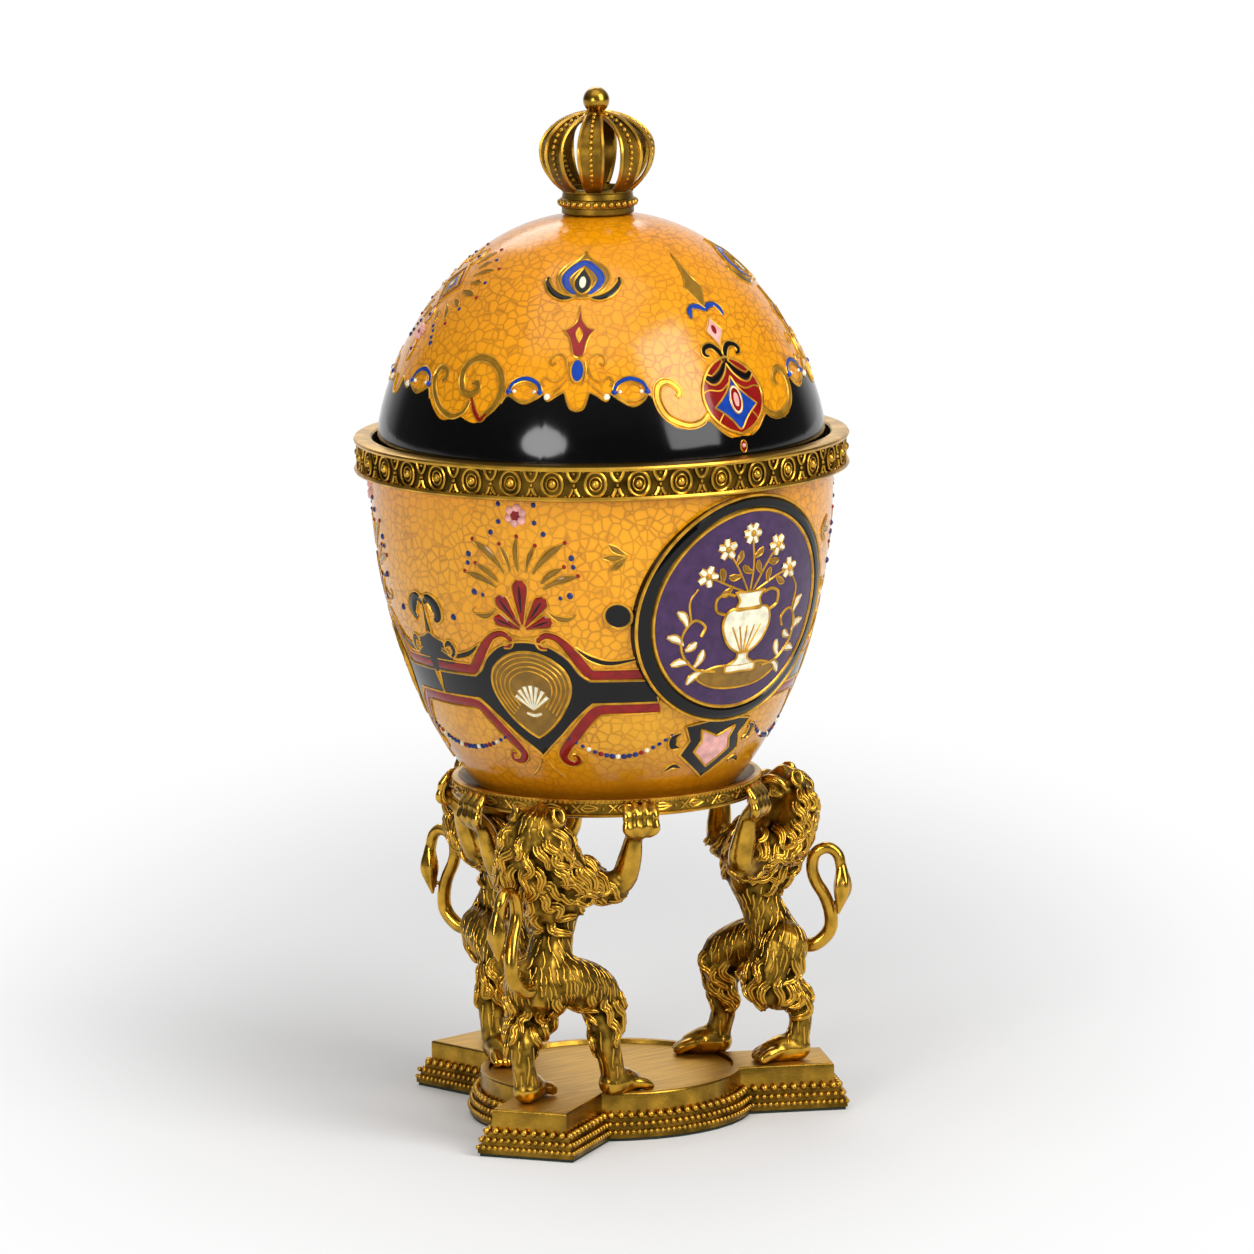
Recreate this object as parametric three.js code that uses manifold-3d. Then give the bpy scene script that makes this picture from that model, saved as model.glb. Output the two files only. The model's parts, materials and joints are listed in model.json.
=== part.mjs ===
// Egg trinket box: a porcelain egg with a lift-off lid and a crown finial, held in a ring by three standing
// lions on a three-armed plinth. Millimetres, +Z up, origin under the plinth on the egg's axis, front at -Y.
import * as THREE from "three";
import { mergeVertices } from "three/addons/utils/BufferGeometryUtils.js";
import Module from "manifold-3d";

// Clearance between pieces that meet on curved, bored or turned faces
const GAP = 0.3;

// Plinth: felt, stepped moulding frame and cast block with three arms
const FELT_THICKNESS = 1;
const FELT_INSET = 1.2;
const MOULDING_HEIGHT = 6.3;
const MOULDING_STEPS = 3;
const MOULDING_REACH = 4.2;
const MOULDING_SETBACK = 1;
const BLOCK_HEIGHT = 7;
const BLOCK_WALL = 2.5;
const BLOCK_PLATE = 4;
const DISC_SETBACK = 7.4;
const DISH_RIM = 2.6;
const DISH_DEPTH = 1.2;
const ARM_MARGIN = 6.1;
const ARM_HALF_WIDTH = 12.1;

// Lions, from the plinth's top to the underside of the ring
const LION_AZIMUTHS = { front: -150, right: -30, left: 96 };
// Side to which each lion carries its tail: 1 as drawn, -1 mirrored
const TAIL_SIDES = { front: 1, right: 1, left: -1 };
const LION_HEIGHT = 86.9;
const LION_UNIT = 1;
const PAW_SPREAD = 33;
const PAW_RADIUS = 4.6;
const PAW_STAND_OFF = 1.4;
const TAIL_RADIUS = 2.2;
const TUFT_RADIUS = 3;

// Screws up into the lions' feet
const FOOT_SCREW_RADIUS = 1.5;
const FOOT_SCREW_REACH = 7;
const FOOT_SCREW_HEAD_RADIUS = 2.6;
const FOOT_SCREW_HEAD_HEIGHT = 2;

// Ring dish under the bowl
const RING_HEIGHT = 5.7;
const RING_FLOOR = 2;
const RING_LIP = 2.2;
const RING_GROOVE = 3.7;
const RING_UNDERCUT = 0.7;
const SEAT_PAD_THICKNESS = 1;
const SEAT_PAD_MARGIN = 3;

// Bowl of the egg: shoulder radius at the band, foot radius at the ring
const BOWL_RADIUS = 71.05;
const BOWL_DEPTH = 97.9;
const BOWL_WALL = 4.2;
const FOOT_RADIUS = 39.9;
const BOWL_POWER = 1.92;

// Band round the bowl's mouth
const BAND_HEIGHT = 10.8;
const BAND_COVER = 5.4;
const BAND_STAND_OUT = 4.95;
const BAND_LIP_COVER = 0.75;
const BAND_LIP_WIDTH = 3.5;
const BAND_FILLET = 1.4;

// Lid
const LID_PLAY = 1.7;
const LID_RISE = 67.6;
const LID_WALL = 3.6;
const LID_POWER_UP = 1.473;
const LID_POWER_OUT = 2.3;
const FLANGE_DEPTH = 6;
const FLANGE_WALL = 3;
const FLANGE_PLAY = 1;

// Round plaques on the bowl
const MEDALLION_RADIUS = 36;
const MEDALLION_THICKNESS = 2.2;
const MEDALLION_DROP = 36.7;
const MEDALLION_AZIMUTHS = { front: -90, back: 90 };

// Bolt through the bowl and the ring
const BOLT_RADIUS = 2.4;
const BOLT_HEAD_RADIUS = 4.5;
const BOLT_HEAD_HEIGHT = 3;
const BOLT_END = 2;
const WASHER_RADIUS = 6.5;
const WASHER_THICKNESS = 1.2;
const NUT_RADIUS = 4.7;
const NUT_HEIGHT = 4;
const NUT_SIDES = 6;

// Crown finial
const CIRCLET_RADIUS = 11.05;
const CIRCLET_WALL = 2;
const CIRCLET_HEIGHT = 7.8;
const CIRCLET_FLOOR = 2.4;
const BEAD_RING_REACH = 1.4;
const BEAD_RING_HEIGHT = 2.6;
const BEAD_RING_RISE = 2.2;
const ARCH_COUNT = 8;
const ARCH_RADIUS = 17.4;
const ARCH_BULGE_RISE = 11.7;
const ARCH_DOME_RISE = 11.6;
const ARCH_SWELL = 7.2;
const ARCH_THICKNESS = 1.7;
const ARCH_HALF_WIDTH = 4.2;
const ARCH_END_HALF_WIDTH = 2.3;
const ORB_RADIUS = 3.95;
const ORB_NECK_RADIUS = 2;
const ORB_SPIGOT_RADIUS = 1.2;
const CROWN_SCREW_RADIUS = 1.9;
const CROWN_SCREW_HEAD_RADIUS = 3.8;
const CROWN_SCREW_HEAD_HEIGHT = 2.4;
const CROWN_WASHER_RADIUS = 6;
const CROWN_WASHER_THICKNESS = 1.2;

// Facets
const ROUND = 36;
const CROWN_ROUND = 24;
const BULB_ROUND = 16;
const SMALL_ROUND = 10;
const LIMB_ROUND = 8;
const LIMB_STEPS = 2;
const PROFILE_STEPS = 8;
const PLAQUE_STEPS = 6;
const BULB_STEPS = 4;
const ARC_SEGMENTS = 4;
const TAIL_STEPS = 22;

// Heights worked out upwards from the floor
const blockBottom = FELT_THICKNESS + MOULDING_HEIGHT;
const plinthTop = blockBottom + BLOCK_HEIGHT;
const dishFloor = plinthTop - DISH_DEPTH;
const plateBottom = plinthTop - BLOCK_PLATE;
const ringBottom = plinthTop + LION_HEIGHT;
const ringFloor = ringBottom + RING_FLOOR;
const ringTop = ringBottom + RING_HEIGHT;
const bowlBottom = ringFloor + SEAT_PAD_THICKNESS;
const shoulder = bowlBottom + BOWL_DEPTH;
const mouth = shoulder + BAND_COVER;
const bandTop = shoulder + BAND_HEIGHT;
const lidTop = bandTop + LID_RISE;

// Radii worked out from the bowl and its neighbours
const eggDepth = BOWL_DEPTH / (1 - (FOOT_RADIUS / BOWL_RADIUS) ** 2) ** (1 / BOWL_POWER);
const lipRadius = BOWL_RADIUS - BAND_LIP_COVER;
const lidRadius = lipRadius - LID_PLAY;
const mouthRadius = BOWL_RADIUS - BOWL_WALL;
const ringRadius = bowlRadius(ringTop) + RING_GROOVE + RING_LIP;
const discRadius = ringRadius - DISC_SETBACK;
const dishRadius = discRadius - DISH_RIM;

// A lion's figure, for each joint: [out from the ring's face, sideways, share of the lion's height, radius],
// where all but the share are in lion units
const TORSO = [
  [5.6, 0, 0.41, 8.6],
  [-0.8, 0, 0.585, 6.6],
  [-2.6, 0, 0.71, 9.6],
  [3.2, 0, 0.83, 8.4],
];
const MUZZLE = [
  [7, 0, 0.95, 8.6],
  [-2.4, 0, 0.905, 4.4],
];
const JAW = [
  [4, 0, 0.86, 5],
  [-0.4, 0, 0.835, 3.3],
];
const MANE = [
  [[9.4, 0, 0.955, 10.2], [6, 0, 0.73, 7.4]],
  [[8.4, -6, 0.93, 7.4], [4, -6.6, 0.76, 5.4]],
  [[8.4, 6, 0.93, 7.4], [4, 6.6, 0.76, 5.4]],
];
const STANDING_LEG = [
  [5.6, -5, 0.42, 8.4],
  [0.4, -6.6, 0.275, 7],
  [11.4, -6, 0.22, 4.8],
  [9.6, -5, 0.1, 3.9],
];
const STANDING_FOOT = [
  [10.3, -5, 0.035, 3.8],
  [-1, -5.6, 0.025, 4.2],
];
const STRIDING_LEG = [
  [2.6, 5, 0.43, 8],
  [-12, 11.6, 0.345, 6],
  [-9.4, 14, 0.2, 4.4],
  [-12, 15, 0.09, 3.7],
];
const STRIDING_FOOT = [
  [-12.8, 15, 0.03, 3.8],
  [-24, 19.4, 0.022, 4.2],
];
const ARM = [
  [-1.6, 9.5, 0.79, 6.2],
  [-9.2, 18.8, 0.75, 4.6],
  [-7.6, 24.2, 0.925, 3.4],
];
const TAIL_ROOT = [7.4, -1, 0.418];
const TAIL_BEND = [
  [12.3, -1.4, 0.411],
  [16.3, -3, 0.415],
  [21, -4.5, 0.486],
  [20.4, -5, 0.566],
  [17.3, -5, 0.63],
  [15.2, -5, 0.69],
  [16, -5.5, 0.747],
  [19.8, -6.5, 0.771],
  [23, -7, 0.745],
  [24, -7.5, 0.687],
  [24, -8, 0.63],
];
const TUFT_TIP = [22.8, -8, 0.545];
const TUFT_TIP_RADIUS = 1.4;
const FOOT_SCREWS = [
  [5.6, -5],
  [-15.2, 15.6],
];

const wasm = await Module();
wasm.setup();
const WELD = 1e-4;

const material = (colour, roughness, metalness) =>
  new THREE.MeshStandardMaterial({ color: colour, roughness, metalness });
const brass = material("#b98a22", 0.35, 1);
const porcelain = material("#e6a32c", 0.12, 0);
const enamel = material("#4b3a63", 0.15, 0);
const steel = material("#b4b6b8", 0.35, 1);
const rubber = material("#2a2826", 0.9, 0);
const cork = material("#b08a5a", 0.95, 0);
const felt = material("#2f3a2c", 1, 0);

// Outer radius of the bowl at a height, an oval below the shoulder and straight above it
function bowlRadius(z) {
  const depth = Math.max(shoulder - z, 0) / eggDepth;
  return BOWL_RADIUS * Math.sqrt(1 - depth ** BOWL_POWER);
}

// Point [radius, height] of the bowl's outside, moved along the surface normal
function bowlPoint(z, offset) {
  const step = 0.1;
  const lean = Math.atan2(bowlRadius(z) - bowlRadius(z - step), step);
  return [bowlRadius(z) + offset * Math.cos(lean), z - offset * Math.sin(lean)];
}

// Height of the lid's dome at a radius, for a wall taken off inside
function lidHeight(radius, wall = 0) {
  const share = (radius / (lidRadius - wall)) ** LID_POWER_OUT;
  return bandTop + (LID_RISE - wall) * (1 - share) ** (1 / LID_POWER_UP);
}

// Profile [radius, height] of the lid's dome for a wall taken off inside, from its edge to near the axis
function domeProfile(wall) {
  const points = [];
  for (let i = 0; i < PROFILE_STEPS; i += 1) {
    const radius = Math.cos((i / PROFILE_STEPS) * (Math.PI / 2)) * (lidRadius - wall);
    points.push([radius, lidHeight(radius, wall)]);
  }
  return points;
}

// Closed solid of a geometry, with its seams welded and its flat triangles at the poles left out
function solid(geometry) {
  const bare = new THREE.BufferGeometry().setAttribute("position", geometry.getAttribute("position"));
  bare.setIndex(geometry.index);
  const welded = mergeVertices(bare, WELD);
  const corners = welded.index.array;
  const triangles = [];
  for (let i = 0; i < corners.length; i += 3) {
    const [a, b, c] = corners.slice(i, i + 3);
    if (a !== b && b !== c && c !== a) triangles.push(a, b, c);
  }
  const vertProperties = new Float32Array(welded.getAttribute("position").array);
  const triVerts = new Uint32Array(triangles);
  return new wasm.Manifold(new wasm.Mesh({ numProp: 3, vertProperties, triVerts }));
}

// Geometry of a closed solid
function geometryOf(body) {
  const { vertProperties, triVerts } = body.getMesh();
  const geometry = new THREE.BufferGeometry();
  geometry.setAttribute("position", new THREE.BufferAttribute(vertProperties, 3));
  geometry.setIndex(new THREE.BufferAttribute(triVerts, 1));
  geometry.computeVertexNormals();
  return geometry;
}

// Solid turned about Z from [radius, height] points, anticlockwise, that close on the axis or on themselves
function turned(profile, facets = ROUND) {
  const closed = [...profile, profile[0]];
  const ring = profile.every(([radius]) => radius > 0);
  const points = (ring ? closed : profile).map(([radius, height]) => new THREE.Vector2(radius, height));
  return solid(new THREE.LatheGeometry(points, facets).rotateX(Math.PI / 2));
}

// Plain disc, or a washer if it has a bore
function disc(radius, bottom, top, bore = 0, facets = SMALL_ROUND) {
  return turned([[bore, bottom], [radius, bottom], [radius, top], [bore, top]], facets);
}

// Flat outline raised between two heights
function raised(shape, bottom, top) {
  const options = { depth: top - bottom, bevelEnabled: false, curveSegments: ARC_SEGMENTS };
  return solid(new THREE.ExtrudeGeometry(shape, options).translate(0, 0, bottom));
}

function union(bodies) {
  return bodies.reduce((whole, body) => whole.add(body));
}

// Place [x, y] in a lion's own frame, with X out from the axis and Y to the lion's right
function lionPlace([out, side]) {
  return [ringRadius + out * LION_UNIT, side * LION_UNIT];
}

// The same with a height, as a share of the lion's
function lionPoint([out, side, share]) {
  const [x, y] = lionPlace([out, side]);
  return new THREE.Vector3(x, y, plinthTop + share * LION_HEIGHT);
}

// Joint of a limb: a place in the lion's frame and a radius
function joint(numbers) {
  return { place: lionPoint(numbers), radius: numbers[3] * LION_UNIT };
}

// Rows of a limb from end to end: a centre, the path's direction there and a radius, with round ends
function limbRows(joints) {
  const path = new THREE.CatmullRomCurve3(joints.map(({ place }) => place));
  const gaps = joints.length - 1;
  const rows = [];
  for (let i = 0; i <= gaps * LIMB_STEPS; i += 1) {
    const share = i / (gaps * LIMB_STEPS);
    const before = Math.min(Math.floor(share * gaps), gaps - 1);
    const [near, far] = [joints[before].radius, joints[before + 1].radius];
    const radius = THREE.MathUtils.lerp(near, far, share * gaps - before);
    rows.push({ centre: path.getPoint(share), along: path.getTangent(share), radius });
  }
  const beyond = ({ centre, along, radius }, angle) => ({
    centre: centre.clone().addScaledVector(along, radius * Math.sin(angle)),
    along,
    radius: radius * Math.max(Math.cos(angle), 0),
  });
  const first = rows[0];
  const last = rows[rows.length - 1];
  const ends = [Math.PI / 4, Math.PI / 2];
  return [
    ...ends.map((angle) => beyond(first, -angle)).reverse(),
    ...rows,
    ...ends.map((angle) => beyond(last, angle)),
  ].map((row) => ({ ...row, radius: row.radius > WELD ? row.radius : 0 }));
}

// Tapered limb through a list of joints: a turned shape whose rows are laid along the joints' curve
function limb(joints) {
  const rows = limbRows(joints);
  const profile = rows.map(({ radius }, i) => new THREE.Vector2(radius, i));
  const geometry = new THREE.LatheGeometry(profile, LIMB_ROUND);
  const position = geometry.getAttribute("position");
  const sideways = new THREE.Vector3(0, 1, 0);
  const corner = new THREE.Vector3();
  for (let i = 0; i < position.count; i += 1) {
    corner.fromBufferAttribute(position, i);
    const { centre, along } = rows[Math.round(corner.y)];
    const across = new THREE.Vector3().crossVectors(along, sideways).normalize();
    const up = new THREE.Vector3().crossVectors(across, along);
    const moved = centre.clone().addScaledVector(across, corner.x).addScaledVector(up, corner.z);
    position.setXYZ(i, moved.x, moved.y, moved.z);
  }
  return solid(geometry);
}

// Arm on one side, from the shoulder to a paw that grips the ring
function arm(side) {
  const joints = ARM.map(([out, across, share, radius]) => joint([out, side * across, share, radius]));
  const spread = THREE.MathUtils.degToRad(side * PAW_SPREAD);
  const reach = ringRadius + PAW_STAND_OFF;
  const grip = ringBottom + RING_UNDERCUT;
  const paw = new THREE.Vector3(reach * Math.cos(spread), reach * Math.sin(spread), grip);
  return limb([...joints, { place: paw, radius: PAW_RADIUS }]);
}

// Space taken by the plinth's top, with the dish in it, which a lion's feet stand on
function footingSpace() {
  const outside = ringRadius * 3;
  const footing = [
    [0, 0],
    [outside, 0],
    [outside, plinthTop],
    [dishRadius - GAP, plinthTop],
    [dishRadius - GAP, dishFloor],
    [0, dishFloor],
  ];
  return turned(footing);
}

// Space taken by the ring and the bowl above it
function ringSpace() {
  return disc(ringRadius + GAP, ringBottom - GAP, shoulder, 0, ROUND);
}

// Place on a tail that is carried to one side or the other
function tailPoint([out, across, share], side) {
  return lionPoint([out, across * side, share]);
}

// Bore for the foot of a tail, from inside the rump to clear of it
function tailBore(side) {
  const radius = TAIL_RADIUS + GAP * 2;
  return limb([TAIL_ROOT, TAIL_BEND[0]].map((place) => ({ place: tailPoint(place, side), radius })));
}

function screwBore(foot) {
  const bore = disc(FOOT_SCREW_RADIUS + GAP, 0, plinthTop + FOOT_SCREW_REACH + GAP);
  return solid(geometryOf(bore).translate(...lionPlace(foot), 0));
}

// Lion in its own frame, cast in one piece with flat soles and palms that fit the ring
function lionBody(tailSide) {
  const limbs = [TORSO, MUZZLE, JAW, ...MANE, STANDING_LEG, STANDING_FOOT, STRIDING_LEG, STRIDING_FOOT];
  const figure = union([...limbs.map((joints) => limb(joints.map(joint))), arm(-1), arm(1)]);
  const spaces = [footingSpace(), ringSpace(), tailBore(tailSide), ...FOOT_SCREWS.map(screwBore)];
  return figure.subtract(union(spaces));
}

// Tail in the lion's frame: a bent tube with a tuft
function tailBody(side) {
  const bend = TAIL_BEND.map((place) => tailPoint(place, side));
  const path = new THREE.CatmullRomCurve3([tailPoint(TAIL_ROOT, side), ...bend]);
  const section = new THREE.Shape();
  section.absarc(0, 0, TAIL_RADIUS, 0, Math.PI * 2);
  const options = { steps: TAIL_STEPS, extrudePath: path, curveSegments: ARC_SEGMENTS, bevelEnabled: false };
  const tube = solid(new THREE.ExtrudeGeometry(section, options));
  const tuft = limb([
    { place: bend[bend.length - 1], radius: TUFT_RADIUS },
    { place: tailPoint(TUFT_TIP, side), radius: TUFT_TIP_RADIUS },
  ]);
  return tube.add(tuft);
}

// Plan of the plinth, a disc with three arms, let out or in all round by an offset
function plinthPlan(offset) {
  const radius = discRadius + offset;
  const halfWidth = ARM_HALF_WIDTH + offset;
  const heel = STANDING_FOOT[0];
  const reach = ringRadius + (heel[0] + heel[3]) * LION_UNIT + ARM_MARGIN + offset;
  const half = Math.asin(halfWidth / radius);
  const azimuths = Object.values(LION_AZIMUTHS).map(THREE.MathUtils.degToRad).sort((a, b) => a - b);
  const plan = new THREE.Shape();
  azimuths.forEach((azimuth, i) => {
    const out = new THREE.Vector2(Math.cos(azimuth), Math.sin(azimuth));
    const across = new THREE.Vector2(-out.y, out.x);
    const corner = (side) => out.clone().multiplyScalar(reach).addScaledVector(across, side * halfWidth);
    const next = i + 1 < azimuths.length ? azimuths[i + 1] : azimuths[0] + Math.PI * 2;
    if (i === 0) plan.moveTo(corner(-1).x, corner(-1).y);
    else plan.lineTo(corner(-1).x, corner(-1).y);
    plan.lineTo(corner(1).x, corner(1).y);
    plan.absarc(0, 0, radius, azimuth + half, next - half);
  });
  plan.closePath();
  return plan;
}

// Places of the foot screws in the whole part's frame: [x, y]
function footScrewPlaces() {
  return Object.values(LION_AZIMUTHS).flatMap((azimuth) =>
    FOOT_SCREWS.map((foot) => {
      const place = new THREE.Vector2(...lionPlace(foot));
      return place.rotateAround(new THREE.Vector2(), THREE.MathUtils.degToRad(azimuth));
    }),
  );
}

// Top of the plate under a foot, lower inside the dish
function footing(place) {
  return place.length() < dishRadius ? dishFloor : plinthTop;
}

function plinthBlock() {
  const dish = disc(dishRadius, dishFloor, plinthTop + GAP, 0, ROUND);
  const hollow = raised(plinthPlan(-BLOCK_WALL), blockBottom - GAP, plateBottom);
  const holes = footScrewPlaces().flatMap((place) => {
    const shank = geometryOf(disc(FOOT_SCREW_RADIUS + GAP, blockBottom - GAP, plinthTop + GAP));
    const head = geometryOf(disc(FOOT_SCREW_HEAD_RADIUS + GAP, blockBottom - GAP, plateBottom));
    return [shank, head].map((hole) => solid(hole.translate(place.x, place.y, 0)));
  });
  return raised(plinthPlan(0), blockBottom, plinthTop).subtract(union([dish, hollow, ...holes]));
}

function plinthMoulding() {
  const stepHeight = MOULDING_HEIGHT / MOULDING_STEPS;
  const steps = [];
  for (let i = 0; i < MOULDING_STEPS; i += 1) {
    const top = i + 1 === MOULDING_STEPS ? blockBottom : FELT_THICKNESS + (i + 1) * stepHeight;
    steps.push(raised(plinthPlan(MOULDING_REACH - i * MOULDING_SETBACK), FELT_THICKNESS, top));
  }
  return union(steps).subtract(raised(plinthPlan(-BLOCK_WALL), 0, plinthTop));
}

function baseFelt() {
  return raised(plinthPlan(MOULDING_REACH - FELT_INSET), 0, FELT_THICKNESS);
}

// Screw or bolt with its head at the bottom: a flat disc and a shank that stands on it
function screw(headRadius, headHeight, shankRadius, bottom, top) {
  const profile = [
    [0, bottom],
    [headRadius, bottom],
    [headRadius, bottom + headHeight],
    [shankRadius, bottom + headHeight],
    [shankRadius, top],
    [0, top],
  ];
  return turned(profile, SMALL_ROUND);
}

function footScrew(place) {
  const head = plateBottom - FOOT_SCREW_HEAD_HEIGHT;
  const top = plinthTop + FOOT_SCREW_REACH;
  const body = screw(FOOT_SCREW_HEAD_RADIUS, FOOT_SCREW_HEAD_HEIGHT, FOOT_SCREW_RADIUS, head, top);
  return solid(geometryOf(body).translate(place.x, place.y, 0));
}

function standRing() {
  const bore = BOLT_RADIUS + GAP;
  const lipInside = ringRadius - RING_LIP;
  const seat = FOOT_RADIUS + GAP;
  const profile = [
    [bore, ringBottom],
    [ringRadius - RING_UNDERCUT, ringBottom],
    [ringRadius, ringBottom + RING_UNDERCUT],
    [ringRadius, ringTop],
    [lipInside, ringTop],
    [seat, ringFloor],
    [bore, ringFloor],
  ];
  return turned(profile);
}

function seatPad() {
  return disc(FOOT_RADIUS - SEAT_PAD_MARGIN, ringFloor, bowlBottom, BOLT_RADIUS + GAP, ROUND);
}

function bowlShell() {
  const bore = BOLT_RADIUS + GAP;
  const outside = [];
  const inside = [];
  const innerBottom = bowlBottom + BOWL_WALL;
  for (let i = 0; i <= PROFILE_STEPS; i += 1) {
    const share = Math.sin((i / PROFILE_STEPS) * (Math.PI / 2));
    outside.push([bowlRadius(bowlBottom + share * BOWL_DEPTH), bowlBottom + share * BOWL_DEPTH]);
    const z = innerBottom + share * (shoulder - innerBottom);
    inside.unshift([bowlRadius(z) - BOWL_WALL, z]);
  }
  const rim = [[BOWL_RADIUS, mouth], [mouthRadius, mouth]];
  return turned([[bore, bowlBottom], ...outside, ...rim, ...inside, [bore, innerBottom]]);
}

function rimBand() {
  const outside = BOWL_RADIUS + BAND_STAND_OUT;
  const inside = BOWL_RADIUS + GAP;
  const lipOutside = lipRadius + BAND_LIP_WIDTH;
  const profile = [
    [inside, shoulder],
    [outside - BAND_FILLET, shoulder],
    [outside, shoulder + BAND_FILLET],
    [outside, bandTop - BAND_FILLET],
    [lipOutside, bandTop],
    [lipRadius, bandTop],
    [lipRadius, mouth + GAP],
    [inside, mouth + GAP],
  ];
  return turned(profile);
}

// Round plaque that fits the curve of the bowl, in the frame of an azimuth of zero
function medallion() {
  const centre = shoulder - MEDALLION_DROP;
  const bottom = Math.max(centre - MEDALLION_RADIUS, bowlBottom + GAP);
  const inside = [];
  const outside = [];
  for (let i = 0; i <= PLAQUE_STEPS; i += 1) {
    const z = bottom + (i / PLAQUE_STEPS) * (shoulder - bottom);
    outside.push(bowlPoint(z, GAP + MEDALLION_THICKNESS));
    inside.unshift(bowlPoint(z, GAP));
  }
  const [radius, z] = bowlPoint(centre, 0);
  const [outerRadius, outerZ] = bowlPoint(centre, 1);
  const normal = new THREE.Vector3(outerRadius - radius, 0, outerZ - z);
  const turn = new THREE.Quaternion().setFromUnitVectors(new THREE.Vector3(0, 1, 0), normal);
  const depth = radius;
  const cutter = new THREE.CylinderGeometry(MEDALLION_RADIUS, MEDALLION_RADIUS, depth, ROUND);
  cutter.applyQuaternion(turn).translate(radius, 0, z);
  return turned([...outside, ...inside]).intersect(solid(cutter));
}

function bowlBolt() {
  const seat = bowlBottom + BOWL_WALL + WASHER_THICKNESS;
  const end = ringBottom - WASHER_THICKNESS - NUT_HEIGHT - BOLT_END;
  const profile = [
    [0, end],
    [BOLT_RADIUS, end],
    [BOLT_RADIUS, seat],
    [BOLT_HEAD_RADIUS, seat],
    [BOLT_HEAD_RADIUS, seat + BOLT_HEAD_HEIGHT],
    [0, seat + BOLT_HEAD_HEIGHT],
  ];
  return turned(profile, SMALL_ROUND);
}

function washer(bottom) {
  return disc(WASHER_RADIUS, bottom, bottom + WASHER_THICKNESS, BOLT_RADIUS + GAP);
}

function bowlNut() {
  const top = ringBottom - WASHER_THICKNESS;
  const bottom = top - NUT_HEIGHT;
  const hexagon = disc(NUT_RADIUS, bottom, top, 0, NUT_SIDES);
  return hexagon.subtract(disc(BOLT_RADIUS + GAP, bottom - GAP, top + GAP));
}

// Flat seat inside the lid for the crown's washer
const lidSeatRadius = CROWN_WASHER_RADIUS + GAP;
const lidSeat = lidHeight(lidSeatRadius, LID_WALL);

function lidShell() {
  const bore = CROWN_SCREW_RADIUS + GAP;
  const flangeOutside = mouthRadius - FLANGE_PLAY;
  const flangeInside = flangeOutside - FLANGE_WALL;
  const inside = domeProfile(LID_WALL).filter(([radius]) => radius > lidSeatRadius);
  const profile = [
    [flangeInside, mouth - FLANGE_DEPTH],
    [flangeOutside, mouth - FLANGE_DEPTH],
    [flangeOutside, mouth],
    [lidRadius, mouth],
    ...domeProfile(0),
    [bore, lidTop],
    [bore, lidSeat],
    [lidSeatRadius, lidSeat],
    ...inside.reverse(),
    [flangeInside, mouth],
  ];
  return turned(profile);
}

const circletBottom = lidHeight(CIRCLET_RADIUS - CIRCLET_WALL) + GAP;
const circletTop = circletBottom + CIRCLET_HEIGHT;
const circletFloor = lidTop + GAP;

function crownCirclet() {
  const bore = CROWN_SCREW_RADIUS + GAP;
  const inside = CIRCLET_RADIUS - CIRCLET_WALL;
  const beads = CIRCLET_RADIUS + BEAD_RING_REACH;
  const beadBottom = circletBottom + BEAD_RING_RISE;
  const profile = [
    [bore, circletFloor],
    [inside, circletFloor],
    [inside, circletBottom],
    [CIRCLET_RADIUS, circletBottom],
    [CIRCLET_RADIUS, beadBottom],
    [beads, beadBottom + BEAD_RING_HEIGHT / 3],
    [beads, beadBottom + (BEAD_RING_HEIGHT * 2) / 3],
    [CIRCLET_RADIUS, beadBottom + BEAD_RING_HEIGHT],
    [CIRCLET_RADIUS, circletTop],
    [inside, circletTop],
    [inside, circletFloor + CIRCLET_FLOOR],
    [bore, circletFloor + CIRCLET_FLOOR],
  ];
  return turned(profile, CROWN_ROUND);
}

const archBulge = circletTop + ARCH_BULGE_RISE;
const archTop = archBulge + ARCH_DOME_RISE;

// Profile [radius, height] of the crown's bulb, for a wall taken off inside, from its foot to the axis
function bulbProfile(wall) {
  const foot = new THREE.Vector2(CIRCLET_RADIUS - wall, circletTop);
  const widest = new THREE.Vector2(ARCH_RADIUS - wall, archBulge);
  const bend = new THREE.Vector2(ARCH_RADIUS - wall, archBulge - ARCH_SWELL);
  const lower = new THREE.QuadraticBezierCurve(foot, bend, widest).getPoints(BULB_STEPS);
  const points = lower.map(({ x, y }) => [x, y]);
  for (let i = 1; i <= BULB_STEPS; i += 1) {
    const angle = (i / BULB_STEPS) * (Math.PI / 2);
    const radius = i < BULB_STEPS ? (ARCH_RADIUS - wall) * Math.cos(angle) : 0;
    points.push([radius, archBulge + (ARCH_DOME_RISE - wall) * Math.sin(angle)]);
  }
  return points;
}

// Leaf-shaped prism that runs out from the axis and cuts one arch from the bulb
function archCutter(azimuth) {
  const middle = (circletTop + archTop) / 2;
  const bend = 2 * ARCH_HALF_WIDTH - ARCH_END_HALF_WIDTH;
  const leaf = new THREE.Shape();
  leaf.moveTo(-ARCH_END_HALF_WIDTH, circletTop - GAP);
  leaf.lineTo(ARCH_END_HALF_WIDTH, circletTop - GAP);
  leaf.quadraticCurveTo(bend, middle, ARCH_END_HALF_WIDTH, archTop + GAP);
  leaf.lineTo(-ARCH_END_HALF_WIDTH, archTop + GAP);
  leaf.quadraticCurveTo(-bend, middle, -ARCH_END_HALF_WIDTH, circletTop - GAP);
  const options = { depth: ARCH_RADIUS + GAP, bevelEnabled: false, curveSegments: ARC_SEGMENTS };
  return solid(new THREE.ExtrudeGeometry(leaf, options).rotateX(Math.PI / 2).rotateZ(azimuth));
}

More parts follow.
